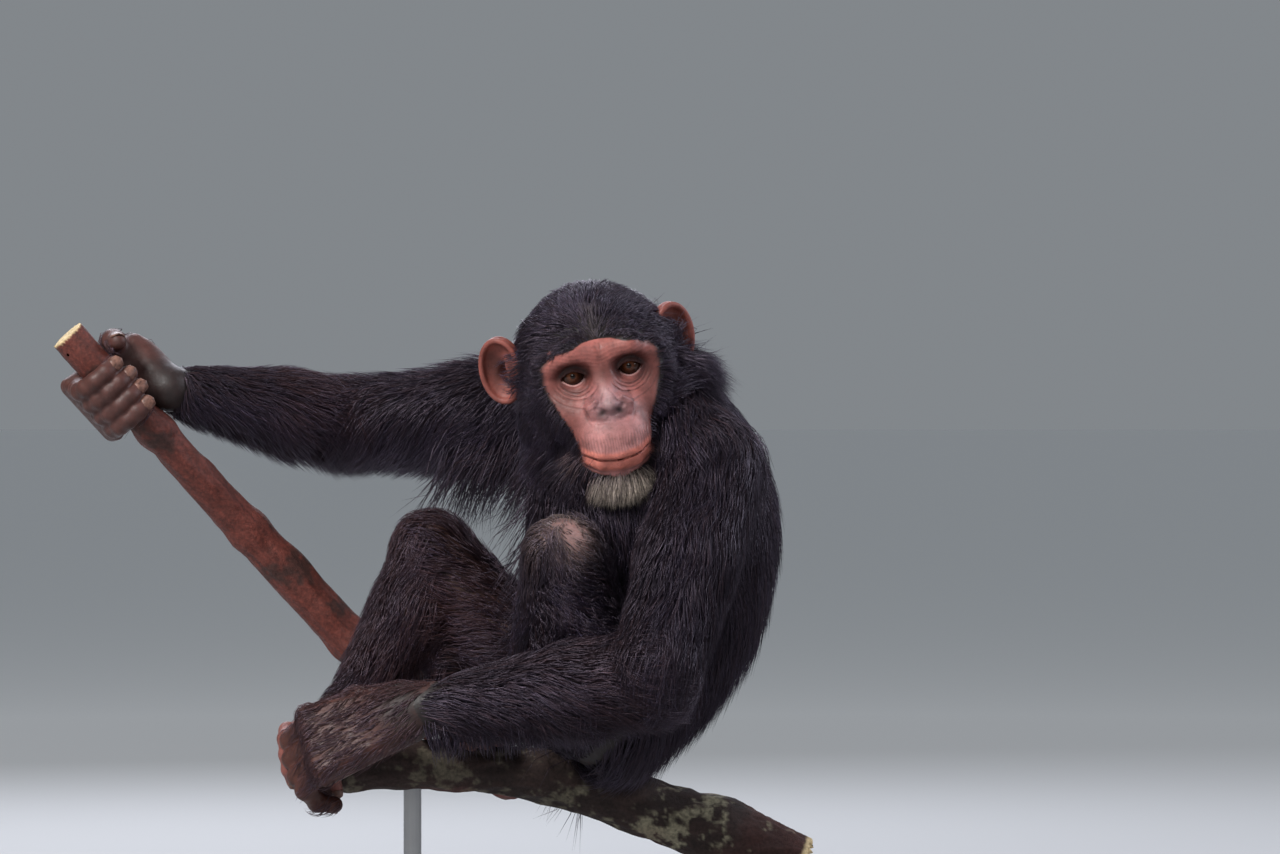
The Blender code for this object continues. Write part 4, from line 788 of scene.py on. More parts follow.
def refined(mesh, field, chosen, step):
    """Halve the faces whose middle is chosen, and settle the new points on the field."""
    bm = bmesh.new()
    bm.from_mesh(mesh)
    middles = np.array([face.calc_center_median() for face in bm.faces])
    picked = chosen(middles)
    edges = {edge for face, pick in zip(bm.faces, picked) if pick for edge in face.edges}
    bmesh.ops.subdivide_edges(bm, edges=list(edges), cuts=1, use_grid_fill=True)
    bm.to_mesh(mesh)
    bm.free()
    points = points_of(mesh)
    near = chosen(points)
    points[near] = settle(field, points[near], step)
    mesh.vertices.foreach_set("co", points.astype(np.float32).ravel())
    mesh.update()


# Materials
class Nodes:
    """Builds the node tree of one material."""

    def __init__(self, name, roughness):
        self.material = bpy.data.materials.new(name)
        self.material.use_nodes = True
        self.tree = self.material.node_tree
        self.shader = self.tree.nodes["Principled BSDF"]
        self.shader.inputs["Roughness"].default_value = roughness
        self.place = self.add("ShaderNodeTexCoord").outputs["Object"]

    def add(self, kind, **values):
        """Add a node, with its sockets or settings given by name."""
        node = self.tree.nodes.new(kind)
        for key, value in values.items():
            socket = key.replace("_", " ")
            if socket in node.inputs:
                if isinstance(value, bpy.types.NodeSocket):
                    self.tree.links.new(value, node.inputs[socket])
                else:
                    node.inputs[socket].default_value = value
            else:
                setattr(node, key, value)
        return node

    def stretched(self, scale, turn=(0, 0, 0)):
        """Return object coordinates, scaled and turned."""
        return self.add("ShaderNodeMapping", Vector=self.place, Scale=scale, Rotation=turn).outputs[0]

    def noise(self, size, detail=3.0, rough=0.55, vector=None):
        """Return smooth noise with features of about this size in metres."""
        vector = vector or self.place
        return self.add("ShaderNodeTexNoise", Vector=vector, Scale=1 / size, Detail=detail,
                        Roughness=rough).outputs["Fac"]

    def cells(self, size, feature="DISTANCE_TO_EDGE", vector=None):
        """Return the distance to the edges of random cells."""
        node = self.add("ShaderNodeTexVoronoi", feature=feature, Vector=vector or self.place, Scale=1 / size)
        return node.outputs["Distance"]

    def ramp(self, value, stops):
        """Return colours that follow a value, from (position, colour) stops."""
        node = self.add("ShaderNodeValToRGB", Fac=value)
        band = node.color_ramp
        while len(band.elements) < len(stops):
            band.elements.new(0.5)
        for element, (position, colour) in zip(band.elements, stops):
            element.position = position
            element.color = (*colour, 1)
        return node.outputs["Color"]

    def scaled(self, colour, factor):
        """Return a colour made darker or lighter by a factor."""
        return self.add("ShaderNodeVectorMath", operation="SCALE", Vector=colour, Scale=factor).outputs[0]

    def mixed(self, share, first, second):
        """Mix two colours by a share from 0 to 1."""
        node = self.tree.nodes.new("ShaderNodeMix")
        node.data_type = "RGBA"
        for socket, value in ((node.inputs[0], share), (node.inputs[6], first), (node.inputs[7], second)):
            if isinstance(value, bpy.types.NodeSocket):
                self.tree.links.new(value, socket)
            elif isinstance(value, (int, float)):
                socket.default_value = value
            else:
                socket.default_value = (*value, 1)
        return node.outputs[2]

    def painted(self, name):
        """Return the colour stored on the mesh under a name."""
        return self.add("ShaderNodeAttribute", attribute_name=name).outputs["Color"]

    def between(self, value, low, high, out_low=0.0, out_high=1.0):
        """Map a value from one range to another."""
        node = self.add("ShaderNodeMapRange", Value=value)
        for socket, number in zip(("From Min", "From Max", "To Min", "To Max"), (low, high, out_low, out_high)):
            node.inputs[socket].default_value = number
        return node.outputs[0]

    def bump(self, height, strength, distance, under=None):
        """Raise the surface by a height, over an earlier bump if one is given."""
        node = self.add("ShaderNodeBump", Height=height, Strength=strength, Distance=distance)
        if under is not None:
            self.tree.links.new(under, node.inputs["Normal"])
        return node.outputs["Normal"]

    def use(self, **sockets):
        """Set or link the shader's sockets and return the material."""
        for key, value in sockets.items():
            socket = self.shader.inputs[key.replace("_", " ")]
            if isinstance(value, bpy.types.NodeSocket):
                self.tree.links.new(value, socket)
            else:
                socket.default_value = value
        return self.material


def finish_piece(ob, look, slot, *nodes):
    """Give a piece its material and its body, and hide the solids that it stands for; the slot is not used."""
    ob.data.materials.clear()
    ob.data.materials.append(look)
    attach(ob, "root")
    if nodes:
        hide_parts(*nodes)
    return ob


# Settings a user would change
def length_setting(name, text, default, low, high):
    """A size in metres, shown in the sidebar."""
    return FloatProperty(name=name, description=text, default=default, min=low, max=high,
                         unit="LENGTH", precision=4)


def colour_setting(name, text, default):
    """A colour, shown in the sidebar."""
    return FloatVectorProperty(name=name, description=text, default=default, min=0, max=1, subtype="COLOR")


class SkinSettings(bpy.types.PropertyGroup):
    """Sizes and colours of the skin."""

    step: length_setting("Mesh step", "Size of the skin's faces under the coat", 0.0031, 0.002, 0.006)
    face: colour_setting("Face", "Bare skin of brow and cheeks", (0.285, 0.092, 0.078))
    muzzle: colour_setting("Muzzle", "Paler skin between nose and mouth", (0.365, 0.158, 0.150))
    nose: colour_setting("Nose", "Grey skin of the nose", (0.200, 0.108, 0.116))
    lips: colour_setting("Lips", "Rims of the mouth", (0.600, 0.185, 0.140))
    # Eye sockets: dark skin round the eyes, darkened further as painted shade under the brow
    orbit_skin_and_shade: colour_setting("Eye sockets", "Dark skin round the eyes", (0.028, 0.007, 0.006))
    ear: colour_setting("Ears", "Skin of the ears", (0.190, 0.054, 0.042))
    hand: colour_setting("Hands", "Backs of the hands and feet", (0.062, 0.023, 0.019))
    finger: colour_setting("Fingers", "Bare skin of the fingers", (0.055, 0.018, 0.013))
    toe: colour_setting("Toes", "Bare skin of the toes", (0.165, 0.056, 0.045))
    under: colour_setting("Under the coat", "Skin below the long hair", (0.012, 0.008, 0.008))
    thin: colour_setting("Thin coat", "Brown skin that shows through thin hair", (0.075, 0.032, 0.027))
    knee: colour_setting("Knee", "Pale worn patch on the left knee", (0.270, 0.160, 0.150))


class CoatSettings(bpy.types.PropertyGroup):
    """Length, depth, number and colours of the tufts."""

    length: FloatProperty(name="Length", description="Length of all tufts, as a share of the usual",
                          default=1.0, min=0.5, max=1.5)
    number: FloatProperty(name="Number", description="Number of tufts, as a share of the usual",
                          default=0.95, min=0.1, max=1.1)
    width: length_setting("Width", "Half the width of a long tuft", 0.00058, 0.0003, 0.002)
    clump: FloatProperty(name="Clumping", description="How far neighbouring tips draw together",
                         default=0.38, min=0, max=1)
    dark: colour_setting("Black hair", "The coat's own black", (0.0060, 0.0045, 0.0068))
    brown: colour_setting("Brown hair", "Sunlit and thin hair", (0.062, 0.026, 0.020))
    pale: colour_setting("Pale hair", "White hair of the chin", (0.580, 0.490, 0.400))
    seed: IntProperty(name="Seed", description="Start of the random draws", default=11, min=0)


class EyeSettings(bpy.types.PropertyGroup):
    """Colours of the eyes."""

    iris: colour_setting("Iris", "Outer colour of the iris", (0.045, 0.014, 0.006))
    inner: colour_setting("Inner iris", "Colour round the pupil", (0.100, 0.030, 0.012))
    white: colour_setting("White", "White of the eye, brown with pigment", (0.026, 0.010, 0.007))


class PerchSettings(bpy.types.PropertyGroup):
    """Relief and colours of the perch."""

    relief: length_setting("Bark relief", "Depth of the bark's ridges", 0.0026, 0, 0.006)
    bark: colour_setting("Bark", "Dark bark of the branch", (0.026, 0.015, 0.013))
    lichen: colour_setting("Lichen", "Pale crusts on the bark", (0.240, 0.220, 0.150))
    wood: colour_setting("Bare wood", "Reddish wood of the rising limb", (0.100, 0.024, 0.017))
    broken: colour_setting("Broken wood", "Fresh wood at the broken end", (0.520, 0.400, 0.220))


class StandSettings(bpy.types.PropertyGroup):
    """Colour of the stand."""

    paint: colour_setting("Paint", "Matt paint of base and rods", (0.330, 0.335, 0.345))


class StageSettings(bpy.types.PropertyGroup):
    """Floor, light and camera."""

    floor: colour_setting("Floor", "Floor near the stand", (0.360, 0.368, 0.378))
    key: FloatProperty(name="Key light", description="Power of the large light above", default=160, min=0,
                       unit="POWER")
    distance: length_setting("Camera distance", "From the camera to the middle of the animal", 5.0, 1.0, 20.0)
    height: length_setting("Camera height", "Height of the level camera", 0.516, 0.1, 2.0)


# Skin
FLESH_NODES = [
    "head", "neck", "torso", "ear_left", "ear_right",
    "upper_arm_left", "forearm_left", "hand_left", "upper_arm_right", "forearm_right", "hand_right",
    "thigh_left", "shin_left", "foot_left", "thigh_right", "shin_right", "foot_right",
]
FACE_EDGE = [
    (-0.084, 0.000), (-0.079, 0.016), (-0.074, 0.028), (-0.068, 0.034), (-0.050, 0.034), (-0.036, 0.036),
    (-0.026, 0.041), (-0.012, 0.047), (0.002, 0.0515), (0.018, 0.0515), (0.025, 0.045), (0.030, 0.037),
    (0.034, 0.020), (0.036, 0.002),
]


def bare_face(s):
    """How bare of long hair the face is, from 0 to 1, for points on its left half."""
    heights, widths = zip(*FACE_EDGE)
    edge = np.interp(s[:, 2] - 0.0012 * NOISE(s, 0.006), heights, widths, left=-0.01, right=-0.01)
    return smooth(edge - s[:, 0], -0.003, 0.004) * smooth(s[:, 1], 0.012, 0.030)


def blend_colour(base, share, colour):
    """Move rows of colour towards one colour by a share."""
    return base + (np.asarray(colour) - base) * share[:, None]


def face_colours(s, skin):
    """Colours of the head's skin with painted shade and highlights, for points on its left half."""
    tone = np.tile(np.asarray(skin.under), (len(s), 1))
    bare = bare_face(s)
    tone = blend_colour(tone, bare, skin.face)
    low = smooth(-s[:, 2], 0.016, 0.042) * smooth(0.036 - s[:, 0], 0, 0.014) * smooth(s[:, 1], 0.050, 0.075) * bare
    tone = blend_colour(tone, low, skin.muzzle)
    # Darker cheeks: partly darker skin, partly painted shade
    cheek = smooth(s[:, 0], 0.014, 0.040) * smooth(0.008 - s[:, 2], 0, 0.016) * bare
    tone = blend_colour(tone, cheek * 0.9, np.asarray(skin.face) * 0.42)
    radius, below = eye_polar(s)
    # Dark skin round the eye, deepened by painted shade under the brow and a painted dark ring along the lids
    socket = ridge(np.maximum(radius - 0.011, 0), 0.0085) * smooth(-below, -0.60, 0.30) * bare
    tone = blend_colour(tone, socket * 0.95, skin.orbit_skin_and_shade)
    rim = ridge(radius - 0.0105, 0.0024) * bare
    tone = blend_colour(tone, rim * 0.6, skin.orbit_skin_and_shade)
    # Painted shade on the bridge of the nose, then the grey nose with a painted highlight on its ridge
    bridge = ridge(s[:, 0], 0.012) * ridge(s[:, 2] - 0.009, 0.008) * bare
    tone = blend_colour(tone, bridge * 0.7, np.asarray(skin.face) * 0.30)
    nose = ridge(np.hypot(s[:, 0] / 1.35, s[:, 2] + 0.019), 0.0145) * smooth(s[:, 1], 0.060, 0.075)
    tone = blend_colour(tone, np.clip(nose * 1.2, 0, 0.9), skin.nose)
    # Painted highlight on the ridge of the nose
    shine = ridge(s[:, 0], 0.0045) * ridge(s[:, 2] + 0.010, 0.0085) * smooth(s[:, 1], 0.060, 0.070)
    tone = blend_colour(tone, shine * 0.45, (0.50, 0.34, 0.34))
    # Painted shade inside the nostrils
    slope = (s[:, 0] - 0.0074) * 0.80 + (s[:, 2] + 0.0220) * -0.60
    hole = ridge(slope, 0.0060) * ridge((s[:, 0] - 0.0074) * 0.60 + (s[:, 2] + 0.0220) * 0.80, 0.0030)
    tone = blend_colour(tone, hole * smooth(s[:, 1], 0.080, 0.086) * 0.9, (0.010, 0.004, 0.004))
    line = mouth_line(s)
    lip = smooth(line, -0.0125, -0.0085) * smooth(0.0085 - line, -0.0010, 0.0030)
    lip = lip * smooth(0.0325 - s[:, 0], 0, 0.006) * smooth(s[:, 1], 0.060, 0.075)
    tone = blend_colour(tone, lip * 0.85, skin.lips)
    tone = blend_colour(tone, lip * smooth(-line, 0.002, 0.006) * 0.45, np.asarray(skin.lips) * 0.5)
    # Painted shade along the line where the lips meet
    mouth = ridge(line, 0.0012) * smooth(0.030 - s[:, 0], 0, 0.004)
    tone = blend_colour(tone, mouth * smooth(s[:, 1], 0.055, 0.070) * 0.8, np.asarray(skin.lips) * 0.10)
    # Painted highlight along the wet edge of the lower lid
    across = (s[:, 0] - EYE[0]) / 0.0112
    wet_highlight = ridge(s[:, 2] - EYE[2] - 0.0006 + 0.0064 * (1 - across ** 2), 0.0006) * (np.abs(across) < 0.85)
    tone = blend_colour(tone, wet_highlight * smooth(s[:, 1], 0.050, 0.055) * 0.7, (0.42, 0.26, 0.25))
    # Painted shade in the folds, and a little painted light on the ridges beside them
    return tone * (1 - np.clip(face_folds(s) / 0.0012, -0.15, 0.62))[:, None]


def knee_hair(p):
    """How short the hair grows round the worn patch on the left knee, from 0 to 1."""
    return 0.85 * ridge(np.linalg.norm(p - KNEE_PATCH, axis=1), 0.040)


def thin_places(p):
    """Where the coat is thin and brown skin shows, from 0 to 1."""
    places = (
        (vec(-0.050, -0.168, 0.300), 0.045, 0.3), (vec(-0.235, 0.020, 0.330), 0.045, 0.5),
        (vec(-0.150, 0.030, 0.345), 0.050, 0.7), (vec(-0.195, 0.040, 0.435), 0.045, 0.5),
        (vec(-0.310, 0.135, 0.560), 0.055, 0.55),
    )
    share = np.zeros(len(p))
    for centre, reach, thin in places:
        share += thin * ridge(np.linalg.norm(p - centre, axis=1), reach)
    return np.clip(share, 0, 1)


KNEE_PATCH = vec(-0.0545, -0.125, 0.4275)


def knee_patch(p):
    """The pale worn patch on the left knee, from 0 to 1."""
    return ridge(np.linalg.norm((p - KNEE_PATCH) * vec(1.1, 0.8, 0.9), axis=1), 0.030)


def skin_colours(p, part, skin):
    """Colours of the skin by part of the body."""
    tone = np.tile(np.asarray(skin.under), (len(p), 1))
    tone = blend_colour(tone, thin_places(p), skin.thin)
    tone = blend_colour(tone, knee_patch(p), skin.knee)
    head = part == PART_NAMES.index("head")
    s = in_head(p[head])
    s[:, 0] = np.abs(s[:, 0])
    tone[head] = face_colours(s, skin)
    for name, centre in (("ear_left", EAR_LEFT), ("ear_right", EAR_RIGHT)):
        ear = part == PART_NAMES.index(name)
        q = in_head(p[ear]) - centre
        # Painted shade in the deep hollow of each ear
        hollow = ridge(np.hypot(q[:, 0] / 0.013, q[:, 2] / 0.020), 0.9) * smooth(-q[:, 1], 0.001, 0.006)
        colour = np.tile(np.asarray(skin.ear), (len(q), 1))
        tone[ear] = blend_colour(colour, hollow * 0.8, np.asarray(skin.ear) * 0.12)
    wrists = {"hand_left": WRIST_L, "hand_right": WRIST_R, "foot_left": ANKLE_L, "foot_right": ANKLE_R}
    for name, wrist in wrists.items():
        held = part == PART_NAMES.index(name)
        far = np.linalg.norm(p[held] - wrist, axis=1)
        edge, tip = ((0.075, 0.100), skin.finger) if name.startswith("hand") else ((0.040, 0.070), skin.toe)
        if name == "foot_left":
            tip = skin.hand
        colour = np.tile(np.asarray(skin.under), (held.sum(), 1))
        colour = blend_colour(colour, smooth(far, 0.015, 0.045), skin.hand)
        tone[held] = blend_colour(colour, smooth(far, *edge), tip)
    return tone


def in_detail(p, margin):
    """Whether points lie on the face, an ear, a hand or a foot."""
    s = in_head(p)
    face = (np.abs(s[:, 0]) < 0.056 + margin) & (np.abs(s[:, 2] + 0.034) < 0.074 + margin)
    face &= s[:, 1] > 0.020 - margin
    fields = dict(zip(PART_NAMES, part_fields(p)))
    names = ("ear_left", "ear_right", "hand_left", "hand_right", "foot_left", "foot_right")
    near = np.minimum.reduce([fields[name] for name in names]) < 0.001 + margin
    return face, near


def make_skin(skin):
    """Mesh the bare body as one skin, finer on the face, ears, hands and feet."""
    points, faces = surface_net(skin_field, (-0.57, -0.24, 0.15), (0.18, 0.29, 0.70), skin.step)
    mesh = mesh_of("skin", points, faces)
    refined(mesh, skin_field, lambda p: np.logical_or(*in_detail(p, 0.002)), skin.step / 2)
    refined(mesh, skin_field, lambda p: in_detail(p, -0.001)[0], skin.step / 4)
    points = points_of(mesh)
    part = np.argmin(part_fields(points), axis=0)
    paint(mesh, "tone", skin_colours(points, part, skin))
    mesh.shade_smooth()
    return link("skin", mesh)


def skin_look():
    """Living skin: mottled colour, pores and fine creases."""
    n = Nodes("skin", 0.52)
    tone = n.painted("tone")
    mottle = n.between(n.noise(0.009, 4), 0.30, 0.70, 0.72, 1.25)
    tone = n.scaled(tone, mottle)
    fleck = n.between(n.noise(0.0022, 2), 0.58, 0.75, 0.0, 0.35)
    tone = n.mixed(fleck, tone, (0.030, 0.016, 0.014))
    pores = n.bump(n.noise(0.0012, 4, 0.7), 0.35, 0.0006)
    creases = n.bump(n.cells(0.0034), 0.22, 0.0007, pores)
    rough = n.between(n.noise(0.006, 2), 0.3, 0.7, 0.40, 0.62)
    return n.use(Base_Color=tone, Roughness=rough, Normal=creases, Specular_IOR_Level=0.30,
                 Subsurface_Weight=0.10, Subsurface_Scale=0.004, Subsurface_Radius=(1.0, 0.35, 0.2))


# Eyes
def make_eye(name, side, colours):
    """An eyeball with a clear bulge over the iris, turned to the viewer."""
    bm = bmesh.new()
    bmesh.ops.create_uvsphere(bm, u_segments=64, v_segments=48, radius=EYE_RADIUS)
    centre = head_place(side * EYE[0], EYE[1], EYE[2])
    iris = IRIS_RADIUS
    gaze = Vector(unit(vec(0.0, -5.0, 0.56) - centre))
    turn = Vector((0, 0, 1)).rotation_difference(gaze).to_matrix()
    tones = []
    for v in bm.verts:
        across = math.hypot(v.co.x, v.co.y)
        front = v.co.z > 0
        if front and across < iris:
            v.co.z += 0.0011 * (1 - (across / iris) ** 2)
        tones.append((across if front else 1.0, math.atan2(v.co.y, v.co.x)))
        v.co = turn @ v.co + Vector(centre)
    mesh = bpy.data.meshes.new(name)
    bm.to_mesh(mesh)
    bm.free()
    across, angle = np.array(tones).T
    colour = np.tile(np.asarray(colours.white), (len(across), 1))
    ring = 1 - smooth(across, iris - 0.0004, iris + 0.0005)
    streak = 0.85 + 0.3 * np.sin(angle * 17) * np.sin(angle * 29 + 1.0)
    rim = smooth(across, 0.0030, iris)[:, None]
    inner = np.asarray(colours.inner) * streak[:, None]
    colour = colour + (inner * (1 - rim) + np.asarray(colours.iris) * 0.6 * rim - colour) * ring[:, None]
    pupil = 1 - smooth(across, 0.0019, 0.0024)
    paint(mesh, "tone", colour * (1 - pupil * 0.97)[:, None])
    mesh.shade_smooth()
    return link(name, mesh)


def eye_look():
    """Wet eye: the painted iris under a glossy surface."""
    n = Nodes("eye", 0.04)
    tone = n.mixed(n.between(n.noise(0.0009, 3), 0.3, 0.7, 0.0, 0.3), n.painted("tone"), (0.01, 0.004, 0.002))
    return n.use(Base_Color=tone, Specular_IOR_Level=0.25)


# Nails
NAIL_ACROSS = 9
NAIL_ALONG = 8
NAIL_THICK = 0.0009


def nail_points(points, radii, up):
    """Points and faces of one curved nail on the end of a finger or toe."""
    end = points[-1]
    ahead = unit(end - points[-2])
    up = square_to(up, ahead)
    side = np.cross(ahead, up)
    radius = radii[-1]
    rows = []
    for layer in (0, 1):
        for along in np.linspace(0, 1, NAIL_ALONG):
            half = 0.98 * (1 - abs(2 * along - 1) ** 3.2) ** 0.5 + 0.04
            for across in np.linspace(-1, 1, NAIL_ACROSS):
                angle = across * half
                reach = radius * (1.03 - 0.10 * along ** 2) + 0.0003 - layer * NAIL_THICK
                place = end + ahead * (radius * (-0.75 + 1.62 * along))
                rows.append(place + (up * math.cos(angle) + side * math.sin(angle)) * reach)
    sheet = NAIL_ACROSS * NAIL_ALONG
    faces = []
    for i in range(NAIL_ALONG - 1):
        for j in range(NAIL_ACROSS - 1):
            a = i * NAIL_ACROSS + j
            faces.append((a, a + 1, a + NAIL_ACROSS + 1, a + NAIL_ACROSS))
            faces.append(tuple(sheet + k for k in (a, a + NAIL_ACROSS, a + NAIL_ACROSS + 1, a + 1)))
    edge = [j for j in range(NAIL_ACROSS)]
    edge += [i * NAIL_ACROSS + NAIL_ACROSS - 1 for i in range(1, NAIL_ALONG)]
    edge += [(NAIL_ALONG - 1) * NAIL_ACROSS + j for j in range(NAIL_ACROSS - 2, -1, -1)]
    edge += [i * NAIL_ACROSS for i in range(NAIL_ALONG - 2, 0, -1)]
    for a, b in zip(edge, edge[1:] + edge[:1]):
        faces.append((b, a, a + sheet, b + sheet))
    return rows, faces


def digit_ends():
    """Every finger and toe with a nail: its points, its radii and the way its nail faces."""
    ends = []
    curl = np.cross(HAND_L_AHEAD, -HAND_L_BACK)
    for points, radii in LEFT_FINGERS:
        ends.append((points, radii, turned(HAND_L_BACK, curl, math.radians(140))))
    ends.append((*LEFT_THUMB, HAND_L_BACK + HAND_L_SIDE * 0.6))
    for points, radii in RIGHT_FINGERS:
        ends.append((points, radii, points[-1] - GRIP - GRIP_AXIS * ((points[-1] - GRIP) @ GRIP_AXIS)))
    ends.append((*RIGHT_THUMB, RIGHT_THUMB[0][-1] - GRIP))
    for foot in (FOOT_LEFT, FOOT_RIGHT):
        for points, radii in foot.toes:
            ahead = unit(points[-1] - points[-2])
            ends.append((points, radii, vec(0, -1, 0.35) if ahead[2] < -0.5 else vec(0, -0.3, 1.0)))
    return ends


def make_nails():
    """All nails as one piece."""
    rows = []
    faces = []
    for points, radii, up in digit_ends():
        more, corners = nail_points(points, radii, up)
        faces += [tuple(len(rows) + i for i in corner) for corner in corners]
        rows += more
    mesh = bpy.data.meshes.new("nails")
    mesh.from_pydata([tuple(row) for row in rows], [], faces)
    mesh.shade_smooth()
    return link("nails", mesh)


def nail_look():
    """Dark horn with a soft gloss."""
    n = Nodes("nails", 0.42)
    tone = n.ramp(n.noise(0.004, 3), [(0.30, (0.055, 0.026, 0.020)), (0.70, (0.200, 0.100, 0.075))])
    return n.use(Base_Color=tone, Normal=n.bump(n.noise(0.0010, 2), 0.15, 0.0003), Specular_IOR_Level=0.30)


# Coat
COMB_PARTS = dict(PARTS)
COMB_PARTS["head"] = ([HEAD], 0.125, lambda p: head_form(half_head(p)))


def combing_field(p):
    """Everything that the coat lies over: the body without fine folds, and the perch."""
    parts = [trunk_field(p)]
    parts += [within(p, points, reach, field) for points, reach, field in COMB_PARTS.values()]
    parts.append(within(p, BRANCH, 0.06, branch_field) + 0.001)
    parts.append(within(p, LIMB, 0.06, limb_field) + 0.001)
    return np.minimum.reduce(parts)


NAPE = vec(-0.010, 0.020, 0.640)
CHIN = head_place(0, 0.072, -0.058)


def trunk_lie(p):
    """Hair of the trunk runs down and away from the nape."""
    return rows_unit(p - NAPE) - vec(0, 0, 0.35)


def head_lie(p):
    """Hair of the head parts in the middle, runs back from the brow, and down on the cheeks."""
    s = in_head(p)
    low = smooth(-s[:, 2], -0.005, 0.030)[:, None]
    spread = rows_unit((s - vec(0, 0.064, 0.030)) * vec(1.9, 1, 1)) @ HEAD_AXES
    return spread * (1 - low) + low * (vec(0, 0.75, -1.0) + rows_unit(p - CHIN) * 0.6)


def beard_lie(p):
    """Hair of the chin stands out all round it and curves down."""
    return rows_unit(p - CHIN) + vec(0, 0.10, -0.55)


def bone_lie(a, b, hang):
    """Hair of a limb runs from a towards b and hangs a little."""
    way = unit(b - a) - vec(0, 0, hang)
    return lambda p: np.tile(way, (len(p), 1))


def whorl_lie(wrist, elbow, ahead, hang):
    """Hair of a forearm runs to the elbow, and past a whorl at the wrist to the knuckles."""
    axis = unit(wrist - elbow)
    centre = wrist - axis * 0.006

    def lie(p):
        along = (p - centre) @ axis
        share = smooth(along, -0.012, 0.012)[:, None]
        back = np.tile(-axis - vec(0, 0, hang), (len(p), 1))
        front = np.tile(unit(ahead) - vec(0, 0, hang * 1.2), (len(p), 1))
        return back * (1 - share) + front * share
    return lie


# Rings of a tuft from root to tip, and its width at all but the last
RINGS = 4
TUFT_PROFILE = np.array([0.8, 1.0, 0.6])
WAVE_SHIFTS = (0.0, 0.31, 0.67)


